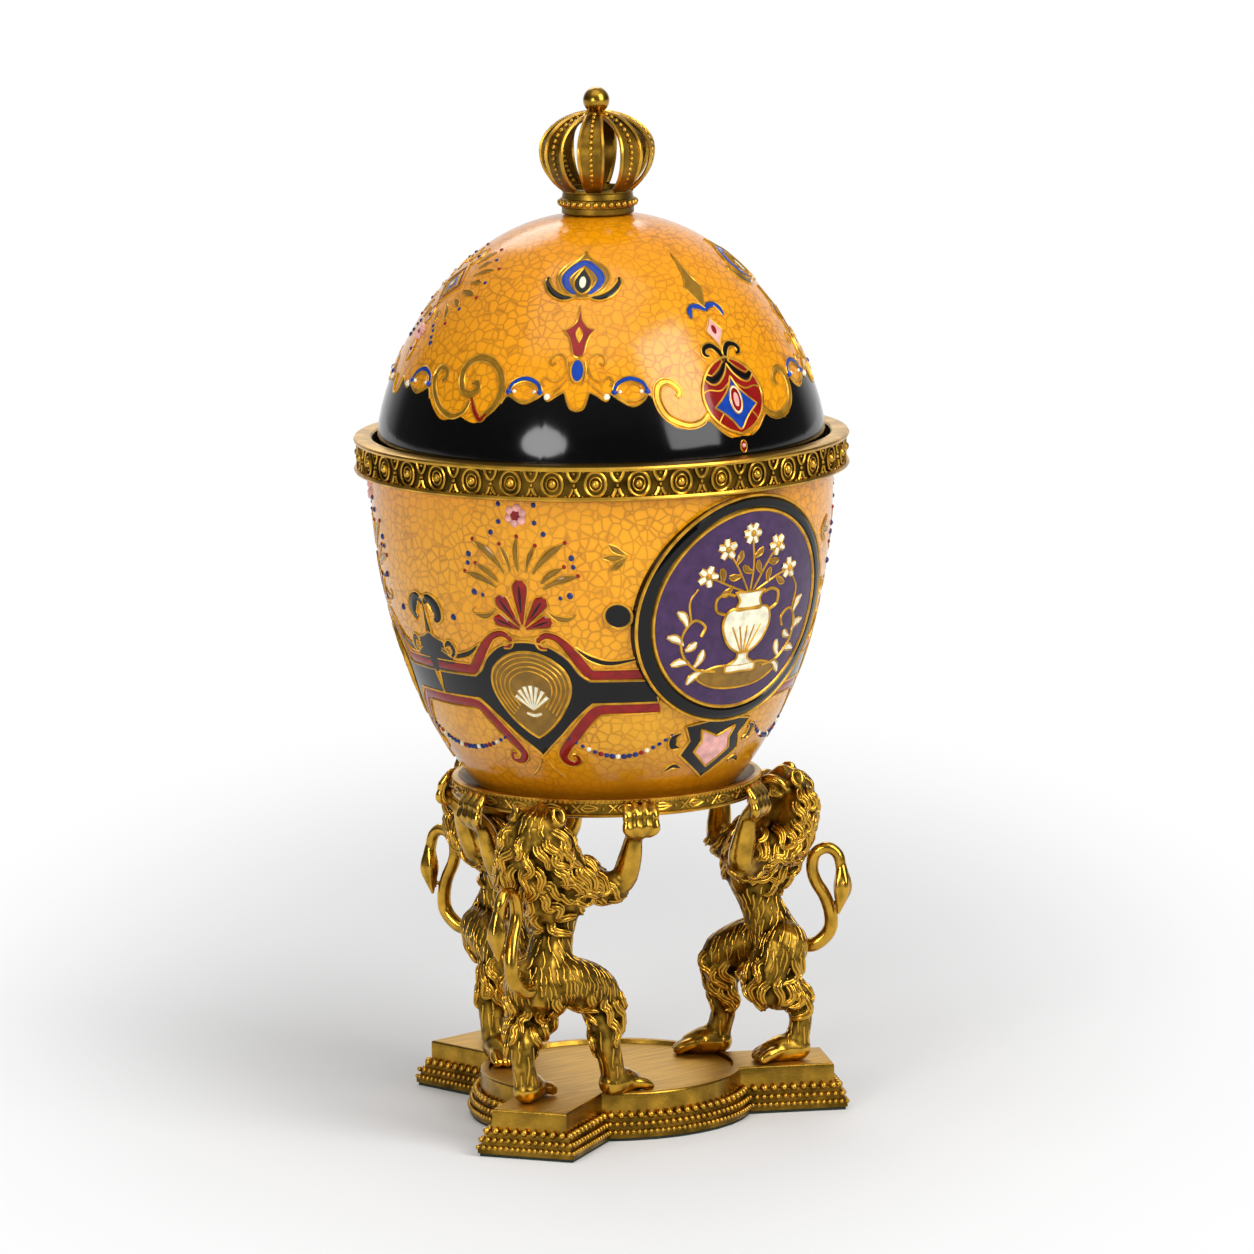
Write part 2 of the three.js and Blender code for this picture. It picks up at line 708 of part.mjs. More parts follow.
function crownArches() {
  const bulb = turned([...bulbProfile(ARCH_THICKNESS).reverse(), ...bulbProfile(0)], BULB_ROUND);
  const cutters = [];
  for (let i = 0; i < ARCH_COUNT; i += 1) cutters.push(archCutter((i / ARCH_COUNT) * Math.PI * 2));
  const socket = disc(ORB_SPIGOT_RADIUS + GAP, archBulge, archTop + GAP);
  return bulb.intersect(union(cutters)).subtract(socket);
}

// Ball on a neck, with a spigot that goes down through the top of the arches
function crownOrb() {
  const neckAngle = Math.asin(ORB_NECK_RADIUS / ORB_RADIUS);
  const centre = archTop + ORB_RADIUS * Math.cos(neckAngle);
  const profile = [
    [0, archTop - ARCH_THICKNESS],
    [ORB_SPIGOT_RADIUS, archTop - ARCH_THICKNESS],
    [ORB_SPIGOT_RADIUS, archTop],
    [ORB_NECK_RADIUS, archTop],
  ];
  for (let i = 1; i <= PROFILE_STEPS; i += 1) {
    const angle = neckAngle + (i / PROFILE_STEPS) * (Math.PI - neckAngle);
    const radius = i < PROFILE_STEPS ? ORB_RADIUS * Math.sin(angle) : 0;
    profile.push([radius, centre - ORB_RADIUS * Math.cos(angle)]);
  }
  return turned(profile, SMALL_ROUND);
}

function crownScrew() {
  const seat = lidSeat - CROWN_WASHER_THICKNESS;
  const top = circletFloor + CIRCLET_FLOOR;
  const head = seat - CROWN_SCREW_HEAD_HEIGHT;
  return screw(CROWN_SCREW_HEAD_RADIUS, CROWN_SCREW_HEAD_HEIGHT, CROWN_SCREW_RADIUS, head, top);
}

function crownWasher() {
  return disc(CROWN_WASHER_RADIUS, lidSeat - CROWN_WASHER_THICKNESS, lidSeat, CROWN_SCREW_RADIUS + GAP);
}

// Named mesh of a solid
function mesh(name, body, surface) {
  const piece = new THREE.Mesh(geometryOf(body), surface);
  piece.name = name;
  return piece;
}

// Stand: felt, plinth, lions and ring
function stand() {
  const group = new THREE.Group();
  group.add(mesh("base_felt", baseFelt(), felt));
  group.add(mesh("plinth_moulding", plinthMoulding(), brass));
  group.add(mesh("plinth_block", plinthBlock(), brass));
  footScrewPlaces().forEach((place, i) => group.add(mesh(`lion_screw_${i + 1}`, footScrew(place), steel)));
  for (const [side, azimuth] of Object.entries(LION_AZIMUTHS)) {
    const lion = new THREE.Group();
    lion.rotation.z = THREE.MathUtils.degToRad(azimuth);
    lion.add(mesh(`lion_${side}`, lionBody(TAIL_SIDES[side]), brass));
    lion.add(mesh(`lion_tail_${side}`, tailBody(TAIL_SIDES[side]), brass));
    group.add(lion);
  }
  group.add(mesh("stand_ring", standRing(), brass));
  return group;
}

// Bowl: shell, band, plaques and the bolt that holds it in the ring
function bowl() {
  const group = new THREE.Group();
  group.add(mesh("seat_pad", seatPad(), cork));
  group.add(mesh("bowl_shell", bowlShell(), porcelain));
  group.add(mesh("rim_band", rimBand(), brass));
  const plaque = medallion();
  for (const [side, azimuth] of Object.entries(MEDALLION_AZIMUTHS)) {
    const piece = mesh(`medallion_${side}`, plaque, enamel);
    piece.rotation.z = THREE.MathUtils.degToRad(azimuth);
    group.add(piece);
  }
  group.add(mesh("bowl_bolt", bowlBolt(), steel));
  group.add(mesh("bowl_washer", washer(bowlBottom + BOWL_WALL), rubber));
  group.add(mesh("nut_washer", washer(ringBottom - WASHER_THICKNESS), steel));
  group.add(mesh("bowl_nut", bowlNut(), steel));
  return group;
}

// Lid: shell, crown and the screw that holds the crown
function lid() {
  const group = new THREE.Group();
  group.add(mesh("lid_shell", lidShell(), porcelain));
  group.add(mesh("crown_circlet", crownCirclet(), brass));
  group.add(mesh("crown_arches", crownArches(), brass));
  group.add(mesh("crown_orb", crownOrb(), brass));
  group.add(mesh("crown_washer", crownWasher(), rubber));
  group.add(mesh("crown_screw", crownScrew(), steel));
  return group;
}

const eggBox = new THREE.Group();
eggBox.add(stand(), bowl(), lid());

export default eggBox;
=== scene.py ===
"""Porcelain egg box with a brass crown, a rim band and a stand of three lions, dressed over its solids."""

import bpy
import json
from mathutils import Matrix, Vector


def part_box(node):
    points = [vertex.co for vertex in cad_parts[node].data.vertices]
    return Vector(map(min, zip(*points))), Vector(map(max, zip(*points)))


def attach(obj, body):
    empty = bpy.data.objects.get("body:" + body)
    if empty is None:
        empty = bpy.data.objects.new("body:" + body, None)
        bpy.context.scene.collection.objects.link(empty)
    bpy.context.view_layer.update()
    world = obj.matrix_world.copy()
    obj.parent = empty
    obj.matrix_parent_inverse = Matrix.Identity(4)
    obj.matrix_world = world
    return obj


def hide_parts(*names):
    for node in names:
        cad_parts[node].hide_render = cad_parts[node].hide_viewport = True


bl_info = {
    "name": "Egg Box",
    "version": (1, 0, 0),
    "blender": (4, 5, 0),
    "location": "View3D > Sidebar > Egg Box",
    "description": "Builds the glaze, enamel, gilding and cast brass of a porcelain egg box",
    "category": "Add Mesh",
}

import copy
import json
import math
import random

import bmesh
import bpy
import numpy as np
from bmesh.types import BMEdge, BMFace, BMVert
from bpy.props import FloatProperty, FloatVectorProperty, IntProperty, PointerProperty
from mathutils import Matrix, Vector
from mathutils.bvhtree import BVHTree
from mathutils.kdtree import KDTree

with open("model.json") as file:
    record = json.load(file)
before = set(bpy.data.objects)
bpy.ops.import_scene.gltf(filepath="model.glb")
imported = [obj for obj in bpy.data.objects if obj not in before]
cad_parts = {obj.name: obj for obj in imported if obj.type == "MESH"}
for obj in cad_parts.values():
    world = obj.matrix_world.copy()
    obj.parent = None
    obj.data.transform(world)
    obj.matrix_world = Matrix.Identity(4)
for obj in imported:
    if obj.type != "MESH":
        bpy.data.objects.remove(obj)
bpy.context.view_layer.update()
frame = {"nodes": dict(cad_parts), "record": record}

# Shapes are worked out in millimetres, and become metres when a piece is finished
MM = 0.001


def low(node):
    """Lowest corner of a solid, in millimetres."""
    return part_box(node)[0] / MM


def high(node):
    """Highest corner of a solid, in millimetres."""
    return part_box(node)[1] / MM


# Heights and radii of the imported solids
SHOULDER = low("rim_band").z
BAND_TOP = high("rim_band").z
BAND_RADIUS = high("rim_band").x
MOUTH = high("bowl_shell").z
BOWL_BOTTOM = low("bowl_shell").z
BOWL_RADIUS = high("bowl_shell").x
LID_FOOT = low("lid_shell").z
LID_TOP = high("lid_shell").z
LID_RADIUS = high("lid_shell").x
RING_BOTTOM = low("stand_ring").z
RING_TOP = high("stand_ring").z
RING_RADIUS = high("stand_ring").x
BLOCK_BOTTOM = low("plinth_block").z
PLINTH_TOP = high("plinth_block").z
MOULDING_BOTTOM = low("plinth_moulding").z
CIRCLET_BOTTOM = low("crown_circlet").z
CIRCLET_TOP = high("crown_circlet").z
ARCH_TOP = high("crown_arches").z
ARCH_RADIUS = high("crown_arches").x
BALL_TOP = high("crown_orb").z

# Curves of the bowl and the lid, as in the solids
FOOT_RADIUS = 39.9
BOWL_POWER = 1.92
LID_POWER_UP = 1.473
LID_POWER_OUT = 2.3
BOWL_WALL = 4.2
LID_WALL = 3.6
FLANGE_WALL = 3
FLANGE_PLAY = 1
EGG_DEPTH = (SHOULDER - BOWL_BOTTOM) / (1 - (FOOT_RADIUS / BOWL_RADIUS) ** 2) ** (1 / BOWL_POWER)

# Where the lions stand, in degrees from +X, and the same for the plinth's arms
LION_AZIMUTHS = {"front": -150, "right": -30, "left": 96}
# Side to which each lion carries its tail
TAIL_SIDES = {"front": 1, "right": 1, "left": -1}
LION_HEIGHT = RING_BOTTOM - PLINTH_TOP
# Plan of the plinth, as in the solids
ARM_REACH = RING_RADIUS + 20.2
ARM_HALF_WIDTH = 12.1
DISC_RADIUS = RING_RADIUS - 7.4
DISH_RADIUS = DISC_RADIUS - 2.6
DISH_FLOOR = PLINTH_TOP - 1.2
MOULDING_REACH = 4.2
PLAQUE_THICKNESS = 2.2
BOLT_BORE = 2.7
SCREW_BORE = 2.2
# Steps of a full turn for the large turned pieces
FINE_TURN = 144

# Photographic view: the photo's own frame is square
CAMERA_AZIMUTH = -38.5
CAMERA_DISTANCE = 2500
CAMERA_HEIGHT = 565
CAMERA_AIM_HEIGHT = 152
CAMERA_AIM_SIDE = 7
CAMERA_ROLL = 0.85
CAMERA_LENS = 236.4
CAMERA_TURN = math.radians(CAMERA_AZIMUTH)
# From the egg's axis to the camera, and to the right in the picture
CAMERA_BACK = Vector((math.sin(CAMERA_TURN), -math.cos(CAMERA_TURN), 0))
CAMERA_RIGHT = Vector((math.cos(CAMERA_TURN), math.sin(CAMERA_TURN), 0))
# Name, azimuth, elevation, distance, width, height and power of each softbox
LAMPS = (
    ("window", 10, 33, 1.3, 0.66, 1.1, 13.5), ("side", -68, 15, 1.3, 0.5, 0.42, 6),
    ("top", -60, 74, 1.4, 1.2, 1.2, 5), ("rim", 150, 40, 1.5, 0.8, 0.6, 4),
)


def linear(text):
    """Linear colour of an sRGB hex value."""
    shares = [int(text[i : i + 2], 16) / 255 for i in (1, 3, 5)]
    return tuple(s / 12.92 if s <= 0.04045 else ((s + 0.055) / 1.055) ** 2.4 for s in shares)


def tint(title, text):
    """Colour property with an sRGB default."""
    return FloatVectorProperty(
        name=title, description=f"Colour of the {title.lower()}", subtype="COLOR", size=3,
        min=0, max=1, default=linear(text),
    )


class EggBoxSizes(bpy.types.PropertyGroup):
    """Sizes that a maker would change."""

    band_ovals: IntProperty(
        name="Band Ovals", description="Ovals round the rim band", default=36, min=12, max=60
    )
    crackle: FloatProperty(
        name="Crackle", description="Width of one cell of the crackled glaze", default=0.0031,
        min=0.002, max=0.02, unit="LENGTH", precision=4,
    )
    lock_spacing: FloatProperty(
        name="Lock Spacing", description="Share of the usual distance between the roots of the lions' locks",
        default=1.0, min=0.6, max=2, subtype="FACTOR",
    )
    lion_grain: FloatProperty(
        name="Lion Grain", description="Finest step of the lions' cast surface", default=0.0006,
        min=0.0003, max=0.002, unit="LENGTH", precision=5,
    )
    bead_pitch: FloatProperty(
        name="Bead Pitch", description="Distance between the large beads round the plinth", default=0.0031,
        min=0.002, max=0.006, unit="LENGTH", precision=4,
    )


class EggBoxColours(bpy.types.PropertyGroup):
    """Colours of the glazes, enamels and metals."""

    amber: tint("Amber Glaze", "#EDA50C")
    amber_deep: tint("Deep Amber", "#E69208")
    amber_pale: tint("Pale Amber", "#DFA01C")
    # The crackle lines' brown is also the painted shade at the bowl's foot
    crackle: tint("Crackle Lines", "#A6650A")
    lining: tint("Inner Glaze", "#F3EBDD")
    black: tint("Black Enamel", "#040303")
    red: tint("Red Enamel", "#8C1410")
    blue: tint("Blue Enamel", "#143F9E")
    navy: tint("Navy Enamel", "#1B2F6B")
    pink: tint("Pink Enamel", "#EEB0A8")
    purple: tint("Purple Enamel", "#422850")
    cream: tint("Cream Enamel", "#F7EFD0")
    olive: tint("Olive Gold Brushwork", "#8A6416")
    gold: tint("Gilding", "#E2A62C")
    brass: tint("Brass", "#B98E32")
    # The patina's colour also serves as painted shade in the brass's hollows and on the ground of raised work
    patina: tint("Brass Patina", "#241905")
    steel: tint("Steel", "#B4B6B8")
    cork: tint("Cork", "#B08A5A")
    felt: tint("Felt", "#2F3A2C")
    rubber: tint("Rubber", "#2A2826")
    ground: tint("Floor", "#E4E4E4")


ENAMELS = ("black", "red", "blue", "navy", "pink", "purple", "cream", "olive", "amber")


def add(tree, kind, values=None, links=None, **settings):
    """Adds a node with its settings, its input values and its links."""
    node = tree.nodes.new(kind)
    for name, value in settings.items():
        setattr(node, name, value)
    for socket, value in (values or {}).items():
        node.inputs[socket].default_value = value
    for socket, source in (links or {}).items():
        tree.links.new(source, node.inputs[socket])
    return node


def finish_of(name, **values):
    """New material: its tree, its shader with plain values on its own sockets, and object coordinates."""
    made = bpy.data.materials.new(name)
    made.use_nodes = True
    tree = made.node_tree
    shader = tree.nodes["Principled BSDF"]
    for socket, value in values.items():
        shader.inputs[socket.replace("_", " ")].default_value = value
    return made, tree, shader, add(tree, "ShaderNodeTexCoord").outputs["Object"]


def ramp(tree, source, stops):
    """Colour ramp from (place, colour) stops."""
    node = add(tree, "ShaderNodeValToRGB", links={"Fac": source})
    marks = node.color_ramp.elements
    while len(marks) < len(stops):
        marks.new(0.5)
    for mark, (place, colour) in zip(marks, stops):
        mark.position = place
        mark.color = (*colour, 1)
    return node.outputs["Color"]


def mixed(tree, share, one, other, blend="MIX"):
    """Mix of two colours, each a socket or plain values."""
    node = add(tree, "ShaderNodeMix", data_type="RGBA", blend_type=blend)
    for index, source in ((0, share), (6, one), (7, other)):
        if isinstance(source, bpy.types.NodeSocket):
            tree.links.new(source, node.inputs[index])
        else:
            node.inputs[index].default_value = source if index == 0 else (*source, 1)
    return node.outputs[2]


def noise(tree, place, size, detail):
    """Outputs of a soft noise, with patches of a size in metres."""
    return add(tree, "ShaderNodeTexNoise", {"Scale": 1 / size, "Detail": detail}, {"Vector": place}).outputs


def reckoned(tree, operation, one, other):
    """Sum, product or greater of two sockets."""
    return add(tree, "ShaderNodeMath", {}, {0: one, 1: other}, operation=operation).outputs[0]


def mapped(tree, source, before, after=(0, 1), way="LINEAR"):
    """Number moved from one range to another."""
    values = dict(zip(("From Min", "From Max", "To Min", "To Max"), (*before, *after)))
    return add(tree, "ShaderNodeMapRange", values, {"Value": source},
               interpolation_type=way).outputs["Result"]


def coloured(tree, shader, source, stops):
    """Colours a shader by a number, through a ramp."""
    tree.links.new(ramp(tree, source, stops), shader.inputs["Base Color"])


def roughened(tree, shader, height, strength, distance=0.0002, **settings):
    """Gives a shader's surface a fine relief."""
    values = {"Strength": strength, "Distance": distance}
    bump = add(tree, "ShaderNodeBump", values, {"Height": height}, **settings)
    tree.links.new(bump.outputs["Normal"], shader.inputs["Normal"])


def scaled(colour, share):
    """Colour made darker or lighter, and no lighter than full."""
    return tuple(min(1, share * c) for c in colour)


def grey(share):
    """Grey colour."""
    return (share, share, share)


def crackle_glaze(colours):
    """Amber lead glaze on porcelain: deep gloss, with a net of stained cracks from the kiln's cooling."""
    made, tree, shader, place = finish_of("amber crackle glaze", Roughness=0.17, IOR=1.45)
    # Cracks wander, so the cells are drawn on coordinates that a soft noise pushes about by 1.5 mm
    sway = noise(tree, place, 0.011, 2)["Color"]
    pushed = add(tree, "ShaderNodeVectorMath", {1: (0.003, 0.003, 0.003)}, {0: sway}, operation="MULTIPLY")
    bent = add(tree, "ShaderNodeVectorMath", {}, {0: place, 1: pushed.outputs[0]}, operation="ADD")
    # A crack is a soft stain that is gone 15 percent of a cell from its line, which is about 0.45 mm
    values = {"Scale": 1 / bpy.context.scene.egg_box_sizes.crackle, "Randomness": 0.85}
    cells = add(
        tree, "ShaderNodeTexVoronoi", values, {"Vector": bent.outputs[0]}, feature="DISTANCE_TO_EDGE"
    )
    stain = ramp(tree, cells.outputs["Distance"], [(0, grey(0.95)), (0.04, grey(0.5)), (0.15, grey(0))])
    # The stain is strong in some places and weaker in others
    strength = ramp(tree, noise(tree, place, 0.022, 1)["Fac"], [(0.35, grey(0.55)), (0.65, grey(1))])
    net = mixed(tree, 1.0, stain, strength, "MULTIPLY")
    # The glaze is deeper near the top, and clouded by soft patches 30 mm across. At the foot it is dark
    # brown, partly the glaze's own tone and partly painted shade where the bowl sits down in the ring
    height = add(tree, "ShaderNodeSeparateXYZ", {}, {0: place}).outputs["Z"]
    body = ramp(
        tree, mapped(tree, height, (BOWL_BOTTOM * MM, LID_TOP * MM)),
        [(0.03, colours.crackle), (0.12, colours.amber_pale), (0.35, colours.amber),
         (1, colours.amber_deep)],
    )
    clouding = ramp(tree, noise(tree, place, 0.03, 3)["Fac"], [(0.35, grey(0)), (0.75, grey(0.55))])
    glazed = mixed(tree, clouding, body, colours.amber_deep)
    tree.links.new(mixed(tree, net, glazed, colours.crackle), shader.inputs["Base Color"])
    roughened(tree, shader, net, 0.08, invert=True)
    return made


def enamel(colours, name):
    """Fired enamel: an opaque, glossy colour with faint brush clouding about 3 mm across."""
    colour = getattr(colours, name)
    made, tree, shader, place = finish_of(f"{name} enamel", Roughness=0.1, Specular_IOR_Level=0.32)
    light = tuple(min(1, 1.12 * c + 0.0005) for c in colour)
    coloured(tree, shader, noise(tree, place, 0.003, 2)["Fac"], [(0.3, scaled(colour, 0.72)), (0.7, light)])
    return made


def lining_glaze(colours):
    """Clear glaze on white porcelain: soft white, with a faint grey cloud."""
    made, tree, shader, place = finish_of("white inner glaze", Roughness=0.16, IOR=1.5)
    stops = [(0.3, scaled(colours.lining, 0.86)), (0.7, colours.lining)]
    coloured(tree, shader, noise(tree, place, 0.015, 2)["Fac"], stops)
    return made


def gilding(colours):
    """Raised slip under burnished gold: metal on the ridge, browner where the gold has rubbed thin."""
    made, tree, shader, place = finish_of("raised gilding", Metallic=0.6, Roughness=0.28)
    stops = [(0.3, scaled(colours.gold, 0.5)), (0.62, colours.gold)]
    coloured(tree, shader, noise(tree, place, 0.004, 3)["Fac"], stops)
    return made


def plain_brass(colours, name, roughness, dark, light=0.0):
    """Cast and burnished brass with smoky tarnish in clouds 6 mm across.

    It goes from a dark to a light share of patina, and on the ground under raised work the dark share is also
    painted shade. A light share below nothing is rubbed brighter.
    """
    made, tree, shader, place = finish_of(name, Metallic=1.0, Roughness=roughness)
    smoke = noise(tree, place, 0.006, 4)["Fac"]
    tarnished, rubbed = (
        tuple(c * (1 - share) + p * share for c, p in zip(colours.brass, colours.patina))
        for share in (dark, light)
    )
    coloured(tree, shader, smoke, [(0.32, tarnished), (0.68, rubbed)])
    polish = mapped(tree, smoke, (0, 1), (roughness * 1.5, roughness * 0.75))
    tree.links.new(polish, shader.inputs["Roughness"])
    roughened(tree, shader, noise(tree, place, 0.0009, 2)["Fac"], 0.12)
    return made


def antique_brass(colours):
    """Cast brass with dark patina left in its hollows, which also stands for painted shade there, and rubbed
    bright on its ridges.
    """
    made, tree, shader, place = finish_of("cast brass, patina and painted shade in hollows", Metallic=1.0)
    stand_out = add(tree, "ShaderNodeAttribute", attribute_name="relief").outputs["Fac"]
    summed = reckoned(tree, "ADD", stand_out, noise(tree, place, 0.005, 4)["Fac"])
    centred = add(tree, "ShaderNodeMath", {1: 0.5}, {0: summed}, operation="SUBTRACT").outputs[0]
    # Low relief is dark with patina and with painted shade in the hollows
    dull, worn = scaled(colours.brass, 0.42), scaled(colours.brass, 1.3)
    stops = [(0.12, colours.patina), (0.42, dull), (0.7, colours.brass), (0.88, worn)]
    coloured(tree, shader, centred, stops)
    tree.links.new(mapped(tree, stand_out, (0.25, 0.7), (0.5, 0.2)), shader.inputs["Roughness"])
    return made


def brushed_brass(colours):
    """Brass plate, wire-brushed one way in streaks 0.6 mm wide and 20 mm long, and browned by handling."""
    made, tree, shader, place = finish_of("brushed brass", Metallic=1.0, Roughness=0.5)
    values = {"Rotation": (0, 0, math.radians(28)), "Scale": (1 / 0.02, 1 / 0.0006, 1)}
    laid = add(tree, "ShaderNodeMapping", values, {"Vector": place})
    streak = noise(tree, laid.outputs[0], 1, 3)["Fac"]
    brown = tuple(0.6 * c + 0.2 * p for c, p in zip(colours.brass, colours.patina))
    coloured(tree, shader, streak, [(0.3, brown), (0.7, scaled(colours.brass, 1.4))])
    roughened(tree, shader, streak, 0.15)
    return made


def turned_steel(colours):
    """Plated steel screws: grey metal with fine turning marks 0.3 mm apart."""
    made, tree, shader, place = finish_of("turned steel", Metallic=1.0, Roughness=0.3)
    values = {"Scale": 0.3 / 0.0003, "Distortion": 1.5}
    marks = add(tree, "ShaderNodeTexWave", values, {"Vector": place}, bands_direction="Z").outputs["Fac"]
    coloured(tree, shader, marks, [(0, scaled(colours.steel, 0.7)), (1, colours.steel)])
    return made


def matt_stuff(colours, stuff, name, grit):
    """Soft, dull stuff such as felt, cork or rubber: specks of a size in metres."""
    colour = getattr(colours, stuff)
    made, tree, shader, place = finish_of(name, Roughness=0.92)
    speck = noise(tree, place, grit, 4)["Fac"]
    coloured(tree, shader, speck, [(0.35, scaled(colour, 0.5)), (0.65, colour)])
    roughened(tree, shader, speck, 0.4, 0.0003)
    return made


# Maker of each finish other than an enamel, and what it is given besides the colours
MAKERS = {
    "glaze": (crackle_glaze,), "lining": (lining_glaze,), "gilding": (gilding,),
    "bright": (plain_brass, "burnished brass", 0.22, 0.55),
    "rubbed": (plain_brass, "rubbed brass", 0.28, 0.25, -0.5),
    # The two darker finishes below are laid on the ground under raised beads and lines: their dark share is
    # partly patina and partly painted shade between the raised work
    "aged": (plain_brass, "aged brass", 0.36, 0.85, 0.4),
    "recess": (plain_brass, "patinated brass", 0.5, 0.97, 0.75),
    "antique": (antique_brass,), "brushed": (brushed_brass,), "steel": (turned_steel,),
    "cork": (matt_stuff, "cork", "cork sheet", 0.0012), "felt": (matt_stuff, "felt", "green felt", 0.0006),
    "rubber": (matt_stuff, "rubber", "black rubber", 0.001),
}
FINISHES = {}


def finish(context, name):
    """Material by its finish, made the first time that it is asked for."""
    if name not in FINISHES:
        maker, *given = MAKERS.get(name, (enamel, name))
        FINISHES[name] = maker(context.scene.egg_box_colours, *given)
    return FINISHES[name]


def smooth_line(knots, steps=6, closed=False):
    """Points on a smooth curve through knots of any dimension. A doubled knot makes a corner."""
    knots = [Vector(k) for k in knots]
    count = len(knots)
    line = []
    for i in range(count if closed else count - 1):
        here, there = knots[i], knots[(i + 1) % count]
        if (there - here).length < 1e-9:
            continue
        before = knots[i - 1] if i or closed else 2 * here - there
        after = knots[(i + 2) % count] if closed or i + 2 < count else 2 * there - here
        for k in range(steps):
            t = k / steps
            square = 2 * before - 5 * here + 4 * there - after
            cube = 3 * here - before - 3 * there + after
            bend = square * t + cube * t * t
            line.append(0.5 * (2 * here + (there - before) * t + bend * t))
    if not closed:
        line.append(knots[-1])
    return line


def bowl_radius(z):
    """Outer radius of the bowl at a height."""
    depth = max(SHOULDER - z, 0) / EGG_DEPTH
    return BOWL_RADIUS * math.sqrt(max(1 - depth**BOWL_POWER, 0))


def lid_radius(z):
    """Outer radius of the lid's dome at a height."""
    share = min(max((z - BAND_TOP) / (LID_TOP - BAND_TOP), 0), 1)
    return LID_RADIUS * (1 - share**LID_POWER_UP) ** (1 / LID_POWER_OUT)


def lid_profile(wall, steps):
    """Points [radius, height] of the dome from its edge to the axis."""
    points = []
    for i in range(steps + 1):
        turn = i / steps * math.pi / 2
        radius = (LID_RADIUS - wall) * math.cos(turn)
        share = max(math.cos(turn), 0) ** LID_POWER_OUT
        height = BAND_TOP + (LID_TOP - wall - BAND_TOP) * max(1 - share, 0) ** (1 / LID_POWER_UP)
        points.append((radius if i < steps else 0, height))
    return points


class Meridian:
    """Line down or up a turned surface, measured along the surface from its start."""

    def __init__(self, points, up):
        self.points = [Vector(p) for p in points]
        self.up = up
        self.arcs = [0.0]
        for one, other in zip(self.points, self.points[1:]):
            self.arcs.append(self.arcs[-1] + (other - one).length)

    def at(self, arc):
        """Radius, height and outward normal at a distance along the line."""
        i = int(np.clip(np.searchsorted(self.arcs, arc) - 1, 0, len(self.points) - 2))
        one, other = self.points[i], self.points[i + 1]
        share = (arc - self.arcs[i]) / (self.arcs[i + 1] - self.arcs[i])
        point = one.lerp(other, share)
        along = (other - one).normalized()
        return point.x, point.y, self.up * along.y, -self.up * along.x


class Board:
    """Flat drawing board that a call lays on a surface: X across, Y up, and a lift outwards."""

    mirror = 1

    def flip(self, side):
        """The same board, mirrored where the side is -1."""
        board = copy.copy(self)
        board.mirror = self.mirror * side
        return board

    def sides(self):
        """The board mirrored, and the board as it is."""
        return self.flip(-1), self.flip(1)


class Spot(Board):
    """Board on a turned surface: X along the parallel, Y up the meridian."""

    def __init__(self, line, angle, arc, mirror=1):
        self.line = line
        self.angle = math.radians(angle)
        self.arc = arc
        self.mirror = mirror

    def __call__(self, x, y, lift=0.0):
        radius, z, out, rise = self.line.at(self.arc + self.line.up * y)
        turn = self.angle + self.mirror * x / radius
        reach = radius + out * lift
        return Vector((reach * math.sin(turn), -reach * math.cos(turn), z + rise * lift))


class Plaque(Board):
    """Board on a medallion, with the bowl's own curve behind it."""

    def __init__(self, node, side):
        self.centre = (low(node).z + high(node).z) / 2
        self.radius = (high(node).z - low(node).z) / 2
        self.side = side

    def __call__(self, x, y, lift=0.0):
        z = self.centre + y
        reach = bowl_radius(z) + PLAQUE_THICKNESS + lift
        return Vector((-self.side * x * self.mirror, self.side * math.sqrt(reach**2 - x * x), z))


def mesh_from(name, bm):
    """Mesh of a bmesh, which is then thrown away."""
    mesh = bpy.data.meshes.new(name)
    bm.to_mesh(mesh)
    bm.free()
    return mesh


def mesh_of(maker):
    """Mesh of an object with its modifiers or bevel done. The object is then thrown away."""
    bpy.context.scene.collection.objects.link(maker)
    bpy.context.view_layer.update()
    ready = maker.evaluated_get(bpy.context.evaluated_depsgraph_get())
    mesh = bpy.data.meshes.new_from_object(ready)
    bpy.data.objects.remove(maker)
    return mesh


def only(items, kind):
    """Those of some vertices, edges and faces that are of one kind."""
    return [item for item in items if isinstance(item, kind)]


def polar(turn, reach, z=0.0):
    """Place about the axis, by its turn from +X in radians."""
    return Vector((reach * math.cos(turn), reach * math.sin(turn), z))


def paint(faces, index):
    """Gives one material to some faces."""
    for face in faces:
        face.material_index = index


def paint_where(faces, test):
    """Gives the second material to the faces whose middle, as a radius and a height, passes a test."""
    for face in faces:
        middle = face.calc_center_median()
        if test(math.hypot(middle.x, middle.y), middle.z):
            face.material_index = 1


def round_edges(bm, edges, radius):
    """Rounds some edges off."""
    bmesh.ops.bevel(
        bm, geom=edges, offset=radius, offset_type="OFFSET", affect="EDGES", segments=3, profile=0.5,
        material=-1,
    )


def lathe(bm, profile, steps=FINE_TURN, material=0, closed=True):
    """Turns [radius, height] points about Z in a full turn, and gives the new faces."""
    before = set(bm.faces)
    verts = [bm.verts.new((radius, 0, height)) for radius, height in profile]
    pairs = zip(verts, verts[1:] + verts[:1]) if closed else zip(verts, verts[1:])
    edges = [bm.edges.new(pair) for pair in pairs]
    bmesh.ops.spin(
        bm, geom=verts + edges, axis=(0, 0, 1), cent=(0, 0, 0), angle=math.tau, steps=steps, use_merge=True
    )
    made = [face for face in bm.faces if face not in before]
    paint(made, material)
    return made


BALLS = {}


